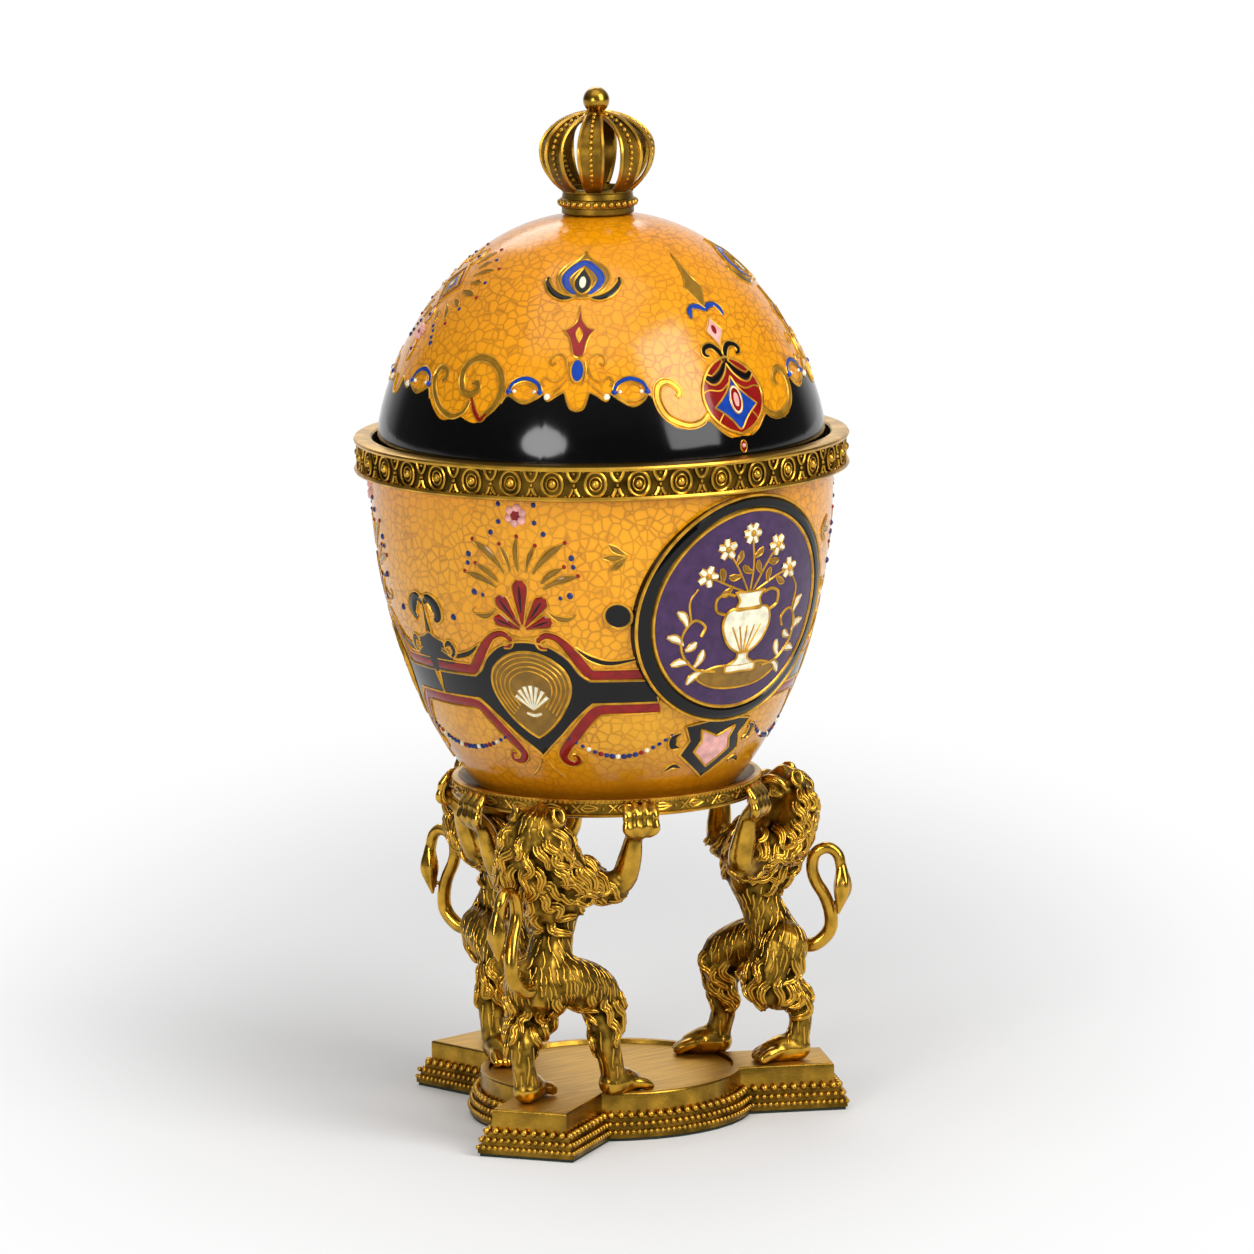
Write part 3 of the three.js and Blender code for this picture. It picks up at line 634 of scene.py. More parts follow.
def bead(bm, place, radius, material=0, around=8, along=5):
    """Ball at a place. One ball of each fineness is made, and then set out again and again."""
    if (around, along) not in BALLS:
        maker = bmesh.new()
        bmesh.ops.create_uvsphere(maker, u_segments=around, v_segments=along, radius=1)
        ball = mesh_from("ball", maker)
        unit = np.empty(len(ball.vertices) * 3)
        ball.vertices.foreach_get("co", unit)
        BALLS[around, along] = ball, unit.reshape(-1, 3)
    ball, unit = BALLS[around, along]
    ball.vertices.foreach_set("co", (unit * radius + np.array(place)).ravel())
    ball.polygons.foreach_set("material_index", np.full(len(ball.polygons), material, np.int32))
    bm.from_mesh(ball)


def tubes(bm, paths, material=0, facets=1):
    """Round strokes, each a list of (point, radius) and whether it closes on itself."""
    curve = bpy.data.curves.new("stroke", "CURVE")
    curve.dimensions = "3D"
    curve.bevel_depth = 1
    curve.bevel_resolution = facets
    curve.use_fill_caps = True
    for knots, closed in paths:
        spline = curve.splines.new("POLY")
        spline.points.add(len(knots) - 1)
        spline.use_cyclic_u = closed
        for point, (place, radius) in zip(spline.points, knots):
            point.co = (*place, 1)
            point.radius = radius
    mesh = mesh_of(bpy.data.objects.new("stroke", curve))
    paint(mesh.polygons, material)
    bm.from_mesh(mesh)
    bpy.data.meshes.remove(mesh)
    bpy.data.curves.remove(curve)


def piece(name, bm, context, finishes, body, nodes=()):
    """Finished piece from a bmesh in millimetres, which rides on a body and may stand for solids."""
    bmesh.ops.remove_doubles(bm, verts=bm.verts, dist=1e-4)
    bmesh.ops.recalc_face_normals(bm, faces=bm.faces)
    bmesh.ops.scale(bm, vec=(MM, MM, MM), verts=bm.verts)
    for face in bm.faces:
        face.smooth = True
    settle(name, mesh_from(name, bm), context, finishes, body, nodes)


def settle(name, mesh, context, finishes, body, nodes=(), sharp=38):
    """Object of a finished mesh in metres, whose edges are sharp from an angle in degrees."""
    mesh.set_sharp_from_angle(angle=math.radians(sharp))
    for finish_name in finishes:
        mesh.materials.append(finish(context, finish_name))
    made = bpy.data.objects.new(name, mesh)
    context.scene.collection.objects.link(made)
    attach(made, body)
    if nodes:
        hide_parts(*nodes)


LID_LINE = Meridian([(LID_RADIUS, MOUTH), *lid_profile(0, 90)], 1)
LID_EDGE = BAND_TOP - MOUTH
BOWL_LINE = Meridian([(bowl_radius(z), z) for z in np.linspace(SHOULDER, BOWL_BOTTOM, 120)], -1)
# How far the edge of a plate runs down into the glaze
SUNK = -0.2
PALETTE = (*ENAMELS, "gilding")


class Ornament:
    """Plates of enamel and raised gold lines, laid on drawing boards."""

    def __init__(self):
        self.bm = bmesh.new()
        self.strokes = []

    def keep(self, sheet, colour):
        """Joins a finished sheet to the rest in one colour."""
        paint(sheet.faces, PALETTE.index(colour))
        mesh = mesh_from("sheet", sheet)
        self.bm.from_mesh(mesh)
        bpy.data.meshes.remove(mesh)

    def patch(self, at, knots, colour, lift, gold=0.0, sunk=SUNK, cell=3.0, steps=5):
        """Plate with a smooth outline. Its edge runs down into the glaze, and a gold line may follow it."""
        outline = smooth_line(knots, steps, closed=True)
        sheet = bmesh.new()
        face = sheet.faces.new([sheet.verts.new((p.x, p.y, 0)) for p in outline])
        bmesh.ops.triangulate(sheet, faces=[face])
        for axis in (0, 1):
            values = [p[axis] for p in outline]
            normal = Vector((1 - axis, axis, 0))
            for k in range(math.ceil(min(values) / cell), math.floor(max(values) / cell) + 1):
                bmesh.ops.bisect_plane(
                    sheet, geom=[*sheet.verts, *sheet.edges, *sheet.faces], dist=1e-5,
                    plane_co=normal * k * cell, plane_no=normal,
                )
        rim = [edge for edge in sheet.edges if edge.is_boundary]
        under = set(only(bmesh.ops.extrude_edge_only(sheet, edges=rim)["geom"], BMVert))
        for vert in sheet.verts:
            vert.co = at(vert.co.x, vert.co.y, sunk if vert in under else lift)
        self.keep(sheet, colour)
        if gold:
            self.line(at, outline, gold, True, max(lift - 0.1, 0.05))

    def ribbon(self, at, knots, colour, lift, gold=0.0):
        """Band through (x, y, width) knots, with gold lines along both edges where asked."""
        line = smooth_line(knots, 5)
        count = len(line) - 1
        aheads = [(line[min(k + 1, count)] - line[max(k - 1, 0)]).xy.normalized() for k in range(count + 1)]
        sheet = bmesh.new()
        bmesh.ops.create_grid(sheet, x_segments=count, y_segments=4, size=0.5)
        for vert in sheet.verts:
            k = round((vert.co.x + 0.5) * count)
            across = Vector((-aheads[k].y, aheads[k].x)) * line[k].z * vert.co.y
            spot = line[k].xy + across
            vert.co = at(spot.x, spot.y, SUNK if abs(vert.co.y) > 0.4 else lift)
        self.keep(sheet, colour)
        for side in (-0.5, 0.5) if gold else ():
            edge = [p.xy + Vector((-a.y, a.x)) * p.z * side for p, a in zip(line, aheads)]
            self.line(at, edge, gold)

    def line(self, at, points, radius, closed=False, lift=0.08):
        """Raised gold line through places on a board."""
        self.strokes.append(([(at(p[0], p[1], lift), radius) for p in points], closed))

    def curve(self, at, knots, radius):
        """Raised gold line on a smooth curve."""
        self.line(at, smooth_line(knots, 5), radius)

    def dot(self, at, x, y, radius, colour, lift=0.0):
        """Drop of enamel."""
        bead(self.bm, at(x, y, lift - 0.35 * radius), radius, PALETTE.index(colour), around=8, along=6)

    def finish(self, name, context, body, nodes=()):
        """Makes the piece of all that was laid."""
        tubes(self.bm, self.strokes, PALETTE.index("gilding"))
        piece(name, self.bm, context, PALETTE, body, nodes)


def both(half):
    """Closed outline from its right half, listed from the top down to the foot."""
    return [*half, *((-x, y) for x, y in reversed(half) if abs(x) > 1e-6)]


def oval(x, y, wide, tall, count=12):
    """Outline of an oval from its centre and its half sizes."""
    turns = [k / count * math.tau for k in range(count)]
    return [(x + wide * math.cos(a), y + tall * math.sin(a)) for a in turns]


def shifted(knots, x, y=0.0):
    """Knots moved on their board."""
    return [(knot[0] + x, knot[1] + y, *knot[2:]) for knot in knots]


def leaf(start, end, width, bend):
    """Ribbon knots of a leaf with a thin foot, a full body and a point."""
    start, end = Vector(start), Vector(end)
    across = Vector((start.y - end.y, end.x - start.x)) * bend
    places = [start.lerp(end, t) + across * 4 * t * (1 - t) for t in (0, 0.3, 0.65, 1)]
    return [(*place, width * share) for place, share in zip(places, (0.25, 0.7, 1.0, 0.2))]


# Upper edge of the lid's black zone: degrees from the pendant and millimetres up from the lid's edge
ZONE = smooth_line(
    [(0, 5.5), (3, 5.5), (6, 7.5), (9, 11), (11, 11), (15.5, 9), (20, 10.5), (23.5, 16.5), (25.5, 20.5),
     (27, 18.5), (30.2, 17), (34, 19.5), (36, 21), (37, 18.7), (39.5, 20.5), (41.7, 21.4), (42.4, 18.6),
     (43.4, 16.4), (45, 15.7)], 4
) + smooth_line(
    [(46.6, 16.4), (47.6, 18.6), (48.3, 21.4), (50.5, 20.5), (53, 18.7), (54, 21), (56, 19.5), (59.7, 17.8),
     (64, 20), (65.5, 19), (67, 16), (71, 12), (74, 11), (78.75, 12.8)], 4
)
ZONE_MIRROR = 45
ZONE_REPEAT = 67.5
# Where no scroll covers the zone's edge: first and last degree, and the radius of the gold line there
ZONE_LINES = ((25.2, 66.5, 0.42), (91, 134, 0.42), (158.5, 180, 0.42), (3, 10.5, 0.4))
# Degrees from the pendant of the lid's other ornaments, and the side to which each heart turns
LOTUS_ANGLES = (-45, 45, 180)
LINK_ANGLES = (30.3, 59.7, 97.8, 127.2, 165.3)
HEART_ANGLES = ((78.75, 1), (146.25, -1))
ROSETTE_ANGLE = 112.5


def zone_edge(angle):
    """Height of the black zone's edge at an angle."""
    turn = abs((angle + 180) % 360 - 180)
    if turn > ZONE_MIRROR:
        step = (turn - ZONE_MIRROR) % ZONE_REPEAT
        turn = ZONE_MIRROR + min(step, ZONE_REPEAT - step)
    return float(np.interp(turn, [p.x for p in ZONE], [p.y for p in ZONE]))


def lid_board(angle, mirror=1):
    """Board on the lid whose Y starts at the lid's edge."""
    return Spot(LID_LINE, angle, LID_EDGE, mirror)


def bowl_board(angle, mirror=1):
    """Board on the bowl whose Y starts at the shoulder and is negative below it."""
    return Spot(BOWL_LINE, angle, 0, mirror)


def black_zone(art):
    """Black ground round the lid's edge, with a gold line where no scroll covers its own edge."""
    columns, rows = 720, 6
    start = 0.5 - LID_EDGE
    sheet = bmesh.new()
    bmesh.ops.create_grid(sheet, x_segments=columns, y_segments=rows, size=0.5)
    for vert in sheet.verts:
        angle = 360 * (vert.co.x + 0.5)
        row = round((vert.co.y + 0.5) * rows)
        share = min(row / (rows - 1), 1)
        place = start + (zone_edge(angle) - start) * share
        vert.co = lid_board(angle)(0, place, SUNK if row == rows else 0.12)
    art.keep(sheet, "black")
    for first, last, radius in ZONE_LINES:
        for side in (-1, 1):
            run = [lid_board(side * a)(0, zone_edge(a), 0.1) for a in np.arange(first, last + 0.01, 0.5)]
            art.strokes.append(([(place, radius) for place in run], False))


def lotus(art, at):
    """Blue lotus with a black heart and two horns, over its stem of small ornaments."""
    base = 58
    ogee = [(0, 13.3), (0, 13.3), (2.2, 9.6), (6, 6.6), (8, 2.5), (6.5, -2.5), (2.5, -5.2), (0, -5.6)]
    art.patch(at, shifted(both(ogee), 0, base), "olive", 0.1, 0.45)
    shoe = [(2.0, -4.0, 1.5), (4.4, -1.4, 2.6), (5.4, 2.0, 3.0), (3.4, 5.6, 3.2), (0, 8.4, 3.2)]
    shoe += [(-x, y, w) for x, y, w in reversed(shoe[:-1])]
    art.ribbon(at, shifted(shoe, 0, base), "blue", 0.32, 0.2)
    drop = [(0, 6.4), (0, 6.4), (1.5, 3.6), (2.7, 0.6), (2.2, -2.4), (0, -4.2)]
    art.patch(at, shifted(both(drop), 0, base), "black", 0.38, 0.4)
    art.patch(at, oval(0, base + 0.2, 1.0, 2.2), "cream", 0.5)
    for board in at.sides():
        horn = [(1.8, -5, 0.7), (5.5, -5.4, 2.3), (9, -3.4, 2.6), (10.9, 0, 1.9), (10.6, 1.8, 1.0)]
        art.ribbon(board, shifted(horn, 0, base), "black", 0.24, 0.42)
        art.dot(board, 10.9, base + 1.7, 0.8, "black")
    fleur = [(0, 49.8), (0.45, 47), (1.0, 44.4), (2.6, 42.4), (4.8, 41.3), (4.8, 41.3), (3.2, 39.2),
             (2.3, 36.5), (1.6, 33.4), (0, 32.4)]
    art.patch(at, both(fleur), "red", 0.2, 0.32)
    art.patch(at, [(0, 42.2), (0, 42.2), (0.95, 40), (0, 37.2), (0, 37.2), (-0.95, 40)], "amber", 0.3, 0.22)


def column_foot(art, at):
    """Blue jewel between gold scrolls, with a pearl to each side."""
    art.patch(at, oval(0, 28.1, 2.0, 3.6), "blue", 0.45, 0.35)
    for board in at.sides():
        scroll = [(6.6, 30.6), (7.6, 29.9), (8.3, 31.2), (7.2, 33.0), (5.2, 33.5), (3.5, 32), (3.1, 29.4),
                  (4.0, 26.6), (6.0, 24.9), (8.0, 25.2), (9.6, 26.2), (10.6, 24.8), (10, 23.2)]
        art.curve(board, scroll, 0.42)
        art.curve(board, [(3.2, 25.4), (4.6, 23.6), (6.8, 21.6), (8.8, 20.2)], 0.38)
        art.curve(board, [(2.2, 31.2), (2.6, 28.4), (2.2, 25.2), (1.2, 23.6)], 0.32)
        art.dot(board, 9.0, 19.9, 1.1, "cream", 0.3)


def link(art, at):
    """Oval link of a blue bow and a gold one."""
    bow = [(-5.2, 21.2, 1.2), (-3.8, 24, 1.5), (0, 25.5, 1.7), (3.8, 24, 1.5), (5.2, 21.2, 1.2)]
    art.ribbon(at, bow, "blue", 0.3, 0.24)
    art.curve(at, [(-4.6, 20.6), (-2.6, 19), (0, 18.5), (2.6, 19), (4.6, 20.6)], 0.5)
    art.curve(at, [(-3.4, 21.6), (-2.2, 23.2), (0, 23.8), (2.2, 23.2), (3.4, 21.6)], 0.26)
    for board in at.sides():
        art.dot(board, 5.0, 21.2, 1.05, "blue", 0.3)
        art.dot(board, 3.2, 21.4, 0.6, "cream", 0.3)


def heart(art, at):
    """Heart of two unlike scrolls that meet in a red point."""
    large = [(0.8, 22.8, 1.0), (-0.9, 23.2, 1.5), (-1.7, 21.4, 1.7), (0.4, 19.6, 1.9), (3.6, 20.4, 2.0),
             (5.5, 24.4, 2.1), (4.7, 28.6, 2.2), (0.8, 31.1, 2.3), (-4.2, 30.4, 2.2), (-8.2, 26.8, 2.0),
             (-10.0, 21.8, 1.9), (-8.8, 16.6, 1.8), (-4.8, 12.4, 1.4)]
    small = [(0.2, 17.6, 0.9), (1.8, 14.2, 1.3), (6.2, 12.4, 1.5), (11.2, 14.2, 1.7), (15.4, 18.6, 1.8),
             (17.2, 23.4, 1.8), (15.4, 26.8, 1.7), (12.4, 26.2, 1.5), (11.8, 23.8, 1.3), (13.4, 22.8, 0.9)]
    for knots in (large, small):
        art.ribbon(at, shifted(knots, -3.4), "olive", 0.3, 0.34)
    point = [(-6.6, 14, 1.2), (-4.8, 12.2, 1.7), (-2.4, 14.4, 1.5), (-0.4, 18.4, 0.7)]
    art.ribbon(at, shifted(point, -3.4), "red", 0.42, 0.2)


def rosette(art, at):
    """Starburst of brush leaves round a red diamond, over a small flower."""
    base = 53.6
    squares = ((7.4, "red", 0.2), (4.9, "cream", 0.3), (3.6, "blue", 0.38), (1.5, "cream", 0.5))
    for size, colour, lift in squares:
        corners = [(size, 0), (0, size), (-size, 0), (0, -size)]
        square = [corner for corner in corners for _ in (0, 1)]
        art.patch(at, shifted(square, 0, base), colour, lift, 0.36 if size > 4 else 0.2, steps=3)
    for side in (-1, 1):
        petal = [(0, 15.5 * side), (0, 15.5 * side), (1.9, 11.5 * side), (0, 8 * side), (-1.9, 11.5 * side)]
        art.patch(at, shifted(petal, 0, base), "pink", 0.2, 0.3)
        art.dot(at, 0, base + 11.5 * side, 0.8, "purple", 0.2)
        for k in range(8):
            turn = math.radians(-66 + k * 19)
            way = Vector((math.cos(turn) * 1.12 * side, math.sin(turn)))
            inner, outer = (9.6, 16.2) if k % 2 else (10.4, 14.4)
            start = way * inner + Vector((0, base))
            end = way * outer + Vector((0, base))
            art.ribbon(at, leaf(start, end, 1.9, 0.05 * side), "olive", 0.2, 0.2)
            tip = way * (outer + 1.6) + Vector((0, base))
            art.dot(at, tip.x, tip.y, 0.75, "red" if k % 2 else "navy")
        for step, (x, y) in enumerate(((9, 37.5), (10.2, 35.4), (11.6, 33.6))):
            art.dot(at, side * x, y, 0.7 + 0.12 * step, "navy")
    for k in range(5):
        turn = math.radians(90 + 72 * k)
        art.dot(at, 1.7 * math.cos(turn), 36 + 1.7 * math.sin(turn), 1.2, "pink", 0.25)
    art.dot(at, 0, 36, 0.8, "red", 0.5)
    art.patch(at, both([(0, 33.6), (1.6, 30.4), (0, 26.4)]), "pink", 0.25, 0.3)
    art.dot(at, 0, 30.2, 0.8, "purple", 0.3)


def pendant(art, at):
    """Jewelled drop in red and blue between two gold scrolls, over the medallion."""
    kite = [(0, 68.6), (0, 68.6), (0.6, 63), (1.7, 58), (3.3, 54.6), (3.3, 54.6), (1.5, 50.6), (0, 47.6)]
    art.patch(at, both(kite), "olive", 0.16, 0.34)
    bud = [(0, 43.8), (0, 43.8), (1.4, 41.2), (3.0, 38.9), (1.6, 36.4), (0.5, 34.4), (0, 32.6)]
    art.patch(at, both(bud), "pink", 0.25, 0.34)
    art.patch(at, oval(0, 39.2, 0.8, 1.5), "red", 0.36)
    body = [(0, 30), (5.4, 28), (9.6, 23.5), (11.3, 18), (9.8, 12.4), (5.4, 8.2), (0, 6.1), (0, 6.1)]
    art.patch(at, both(body), "red", 0.2, 0.55)
    star = [(0, 24), (0, 24), (1.7, 20.5), (4.4, 17.6), (8, 14.7), (8, 14.7), (5.0, 12.6), (2.6, 10.4),
            (0, 7.6)]
    art.patch(at, both(star), "blue", 0.32, 0.34)
    eye = ((2.2, 4.3, "cream", 0.42), (1.7, 3.6, "red", 0.5), (0.9, 2.2, "pink", 0.58))
    for wide, tall, colour, lift in eye:
        art.patch(at, oval(0, 16.6, wide, tall), colour, lift, 0.2 if wide > 2 else 0)
    art.patch(at, oval(0, 2.4, 1.15, 1.8), "red", 0.34, 0.25)
    art.dot(at, 0, 2.6, 0.7, "pink", 0.5)
    for board in at.sides():
        art.ribbon(board, [(0, 46.0, 1.4), (2.2, 47.6, 2.4), (4.8, 47.6, 1.8)], "blue", 0.28, 0.22)
        art.ribbon(board, [(4.4, 47.8, 1.6), (5.8, 46.0, 2.0), (6.2, 43.6, 0.9)], "blue", 0.28, 0.22)
        horn = [(0.2, 28.4, 1.6), (1.2, 32.0, 2.2), (3.4, 34.1, 2.2), (6, 33.4, 1.9), (6.6, 31.4, 1.5),
                (5.2, 30.8, 0.9)]
        art.ribbon(board, horn, "black", 0.42, 0.36)
        petal = [(0.5, 28.4, 1.4), (2.8, 25.4, 2.6), (6.2, 23.2, 3.0), (9.0, 24.6, 1.7)]
        art.ribbon(board, petal, "black", 0.4, 0.34)
        art.curve(board, [(0.6, 22.2), (4.6, 19.8), (8.6, 20.2), (11.1, 19.4)], 0.34)
        art.curve(board, [(5.2, 13), (7.2, 10.6), (7.4, 9.4)], 0.3)
        scroll = [(19.6, 19.0, 1.1), (18.5, 20.6, 1.7), (19.6, 22.8, 2.0), (22.2, 24, 2.2), (25, 22.2, 2.3),
                  (26, 18, 2.3), (24, 13, 2.3), (18.4, 10.2, 2.2), (13.6, 10.8, 1.9), (10.8, 13.2, 1.3)]
        art.ribbon(board, scroll, "gilding", 0.34, 0.24)


class EGGBOX_OT_lid_enamel(bpy.types.Operator):
    """Enamelled and gilded ornament of the lid, over its black zone"""

    bl_idname = "eggbox.lid_enamel"
    bl_label = "Lid Enamel"

    def execute(self, context):
        art = Ornament()
        black_zone(art)
        pendant(art, lid_board(0))
        for angle in LOTUS_ANGLES:
            lotus(art, lid_board(angle))
            column_foot(art, lid_board(angle))
        for side in (-1, 1):
            for angle in LINK_ANGLES:
                link(art, lid_board(side * angle))
            for angle, way in HEART_ANGLES:
                heart(art, lid_board(side * angle, side * way))
            board = lid_board(side * ROSETTE_ANGLE)
            rosette(art, board)
            for across in (-9, 9):
                art.dot(board, across, 19.9, 1.1, "cream", 0.3)
        art.finish("lid_ornament", context, "lid")
        return {"FINISHED"}


# Each cartouche of the bowl: degrees from the medallion, mirror, and reach of its two straps and its spot
CARTOUCHES = ((60, -1, 38.6, 34.6, 29.5), (125, 1, 33.4, 33.4, 24.5))
ANCHOR_ANGLE = 92.5
# Festoons: degrees at both ends, dip and count of dots. All hang at one distance from the shoulder
SWAGS = ((50, 17, 7.0, 17), (71, 114, 6.5, 22), (136, 163, 6.0, 14))
SWAG_ARC = 77.5


def strapwork(art, at, to_medallion, to_anchor):
    """Black strap with red borders that swells round a gold shell in a drop-shaped frame."""
    outline = [(0, -44.4), (7.5, -45.8), (13.0, -49.8), (16.0, -54.6), (18.8, -57.0), (18.8, -57.0)]
    lower = [(18.6, -65), (18.6, -65), (15.6, -67.6), (11.6, -71.6), (7.6, -76.2), (3.6, -80.4), (0, -84.4),
             (0, -84.4)]
    half = {1: to_medallion, -1: to_anchor}
    knots = []
    for side in (1, -1):
        arm = [(half[side], -57.2), (half[side], -57.2), (half[side], -65), (half[side], -65)]
        points = [(side * x, y) for x, y in (*outline, *arm, *lower)]
        knots += points if side > 0 else list(reversed(points))[2:-1]
    art.patch(at, knots, "black", 0.14, 0.45, cell=2.5)
    shell = [(0, -47.8), (6, -49.2), (11, -53.2), (12.6, -58), (11.6, -63.2), (7.6, -70.2), (3, -75.2),
             (0, -77.4), (0, -77.4)]
    art.patch(at, both(shell), "olive", 0.26, 0.5)
    for k in range(1, 5):
        inset = 1 - 0.115 * k
        ring = [(x * inset, -58 + (y + 58) * inset - 0.4 * k) for x, y in shell[:6]]
        full = [*((-x, y) for x, y in reversed(ring)), *ring[1:]]
        art.line(at, smooth_line(full, 4), 0.26, False, 0.3)
    for k in range(7):
        turn = math.radians(150 - 20 * k)
        tip = (6.0 * math.cos(turn), -66.5 + 7.6 * math.sin(turn))
        rib = [(0, -67.4, 0.4), (tip[0] * 0.5, (-67.4 + tip[1]) / 2, 1.2), (*tip, 1.9)]
        art.ribbon(at, rib, "cream", 0.46, 0.2)
    art.ribbon(at, [(-2.4, -68.6, 0.8), (0, -69.4, 1.6), (2.4, -68.6, 0.8)], "cream", 0.46, 0.2)
    for side in (1, -1):
        board = at.flip(side)
        end = half[side]
        upper = [(7.0, -46.4, 0.9), (5.0, -46.0, 1.5), (4.6, -43.8, 1.9), (7.2, -42.2, 2.4),
                 (10.8, -43.4, 2.6), (14.0, -47.0, 3.6), (16.6, -51.2, 3.9), (19.2, -54.8, 3.9),
                 (22.6, -55.2, 3.9), (28, -55.2, 3.9), (end, -55.2, 3.9)]
        art.ribbon(board, upper, "red", 0.3, 0.34)
        below = [(end, -67.0, 3.9), (28, -67.0, 3.9), (22, -67.0, 3.9), (18.8, -68.0, 3.9),
                 (14.9, -72.1, 3.9), (11.1, -76.9, 3.8), (8.0, -80.9, 3.5), (6.3, -84.4, 3.0),
                 (8.0, -87.0, 2.5), (10.6, -86.4, 1.8), (10.6, -84.2, 1.3), (9.2, -84.0, 0.9)]
        art.ribbon(board, below, "red", 0.3, 0.34)
        art.dot(board, 6.4, -45.0, 0.9, "gilding", 0.2)
        art.curve(board, [(0.9, -85.6), (2.4, -89.2), (5.2, -92.4)], 0.4)
        spray = [(15.5, -46, 0.5), (20, -49.6, 1.9), (26, -51.2, 1.9), (end * 0.92, -49.6, 0.8)]
        art.ribbon(board, spray, "black", 0.2, 0.34)


def palmette(art, at):
    """Red palmette under a fan of brush plumes, a pink flower and navy dots."""
    foot = Vector((0, -40.6))
    # Share of the way along a lobe, and share of its width there
    red = ((0.12, 0.2), (0.5, 0.62), (0.85, 1.0), (1.0, 0.45))
    stripe = ((0.35, 0.08), (0.65, 0.26), (0.88, 0.12))
    lobes = ((90, 15.8, 5.6), (54, 12.8, 4.8), (126, 12.8, 4.8), (20, 9.8, 4.4), (160, 9.8, 4.4))
    for turn, reach, width in lobes:
        way = polar(math.radians(turn), 1).xy
        for shape, colour, lift, gold in ((red, "red", 0.42, 0.3), (stripe, "black", 0.48, 0)):
            art.ribbon(at, [(*(foot + way * reach * t), width * s) for t, s in shape], colour, lift, gold)
    art.curve(at, [(-5, -42.4), (0, -43.4), (5, -42.4)], 0.42)
    plumes = (((0, -22.2), (0, -11.6), 1.9), ((2.6, -22.2), (5.6, -14.2), 1.6),
              ((4.6, -22.6), (14.6, -13.2), 2.6), ((7, -25.6), (14, -20.6), 2.0),
              ((7.6, -27.4), (18, -23.4), 2.3))
    for start, end, width in plumes:
        for side in (1, -1) if end[0] else (1,):
            board = at.flip(side)
            art.ribbon(board, leaf(start, end, width, 0.06), "olive", 0.24, 0.2)
            art.dot(board, end[0] * 1.03, end[1] + 0.3, 0.7, "red", 0.1)
    for k in range(6):
        turn = math.radians(60 * k + 20)
        art.dot(at, 2.3 * math.cos(turn), -4.9 + 2.3 * math.sin(turn), 1.45, "pink", 0.2)
    art.patch(at, oval(0, -4.9, 1.5, 1.5), "red", 0.62)
    dots = ((5.7, 1.6, 0.85), (5.8, 7.0, 0.85), (8.5, 10.4, 0.9), (16.8, 17.6, 1.0), (15.6, 29.4, 1.1),
            (12.6, 30.2, 0.7), (17.2, 20.4, 0.8))
    for board in at.sides():
        for x, arc, radius in dots:
            art.dot(board, x, -arc, radius, "navy", 0.1)
        art.ribbon(board, leaf((8.4, -34.4), (16, -36.4), 1.9, -0.18), "olive", 0.22, 0.22)
        art.curve(board, [(16, -36.4), (16.8, -35.2), (15.4, -34.2)], 0.26)


def anchor(art, at):
    """Black bow on a stem that rises from a stepped foot on the strap."""
    for board in at.sides():
        bow = [(0.6, -35.2, 1.6), (2.6, -33.6, 3.4), (5.6, -35.6, 5.0), (6.2, -38.8, 4.2),
               (4.6, -40.6, 2.0)]
        art.ribbon(board, bow, "black", 0.4, 0.42)
        ear = [(6.4, -48.6, 1.0), (8.8, -47.2, 2.2), (10.2, -49.6, 2.2), (9.0, -51.6, 1.4)]
        art.ribbon(board, ear, "black", 0.4, 0.4)
        art.dot(board, 13.2, -38.4, 1.1, "navy", 0.1)
    art.ribbon(at, [(0, -35.6, 1.0), (0, -39, 1.6), (0, -45.5, 3.2)], "black", 0.3, 0.4)
    foot = [(0, -44.6), (3, -46), (6.4, -47.2), (6.6, -49.4), (8.4, -52), (8.4, -52), (8.6, -57.6),
            (8.6, -57.6), (0, -57.6)]
    art.patch(at, both(foot), "black", 0.26)
    edge = [*((-x, y) for x, y in reversed(foot[:6])), *foot[1:6]]
    art.curve(at, edge, 0.4)
    art.curve(at, [(-2, -34.4), (0, -32.6), (2, -34.4)], 0.36)


def shield(art, at):
    """Pink shield in an angular black frame under a medallion."""
    frame_half = [(0, -73), (12.6, -74.6), (12.6, -74.6), (9.6, -80.2), (9.6, -80.2), (11.4, -85.4),
                  (11.4, -85.4), (5.4, -90.6), (0, -95.4), (0, -95.4)]
    art.patch(at, both(frame_half), "black", 0.2, 0.45, cell=2.5)
    field = [(0, -79.4), (0, -79.4), (6.4, -76.4), (6.4, -76.4), (5.2, -80.6), (5.2, -80.6), (6.6, -84.6),
             (6.6, -84.6), (0, -91), (0, -91)]
    art.patch(at, both(field), "pink", 0.36, 0.45, cell=2.5)
    for board in at.sides():
        horn = [(13.4, -77, 0.8), (15.4, -78.6, 2.6), (14.6, -81.6, 2.6), (12.4, -82.4, 0.8)]
        art.ribbon(board, horn, "black", 0.24, 0.4)
        art.ribbon(board, [(9.4, -90.4, 0.8), (12.2, -89.6, 2.0), (14.4, -91.4, 0.8)], "black", 0.24, 0.34)


def swag(art, first, last, dip, count):
    """Festoon of navy, red and white dots that hangs between two angles on the bowl."""
    for k in range(count + 1):
        t = k / count
        board = bowl_board(first + (last - first) * t)
        size = 0.62 + 0.42 * math.sin(math.pi * t) * (1 if k % 2 else 0.7)
        colour = "cream" if k % 5 == 3 else "red" if k % 7 == 5 else "navy"
        art.dot(board, 0, -(SWAG_ARC + dip * 4 * t * (1 - t)), size, colour, 0.1)


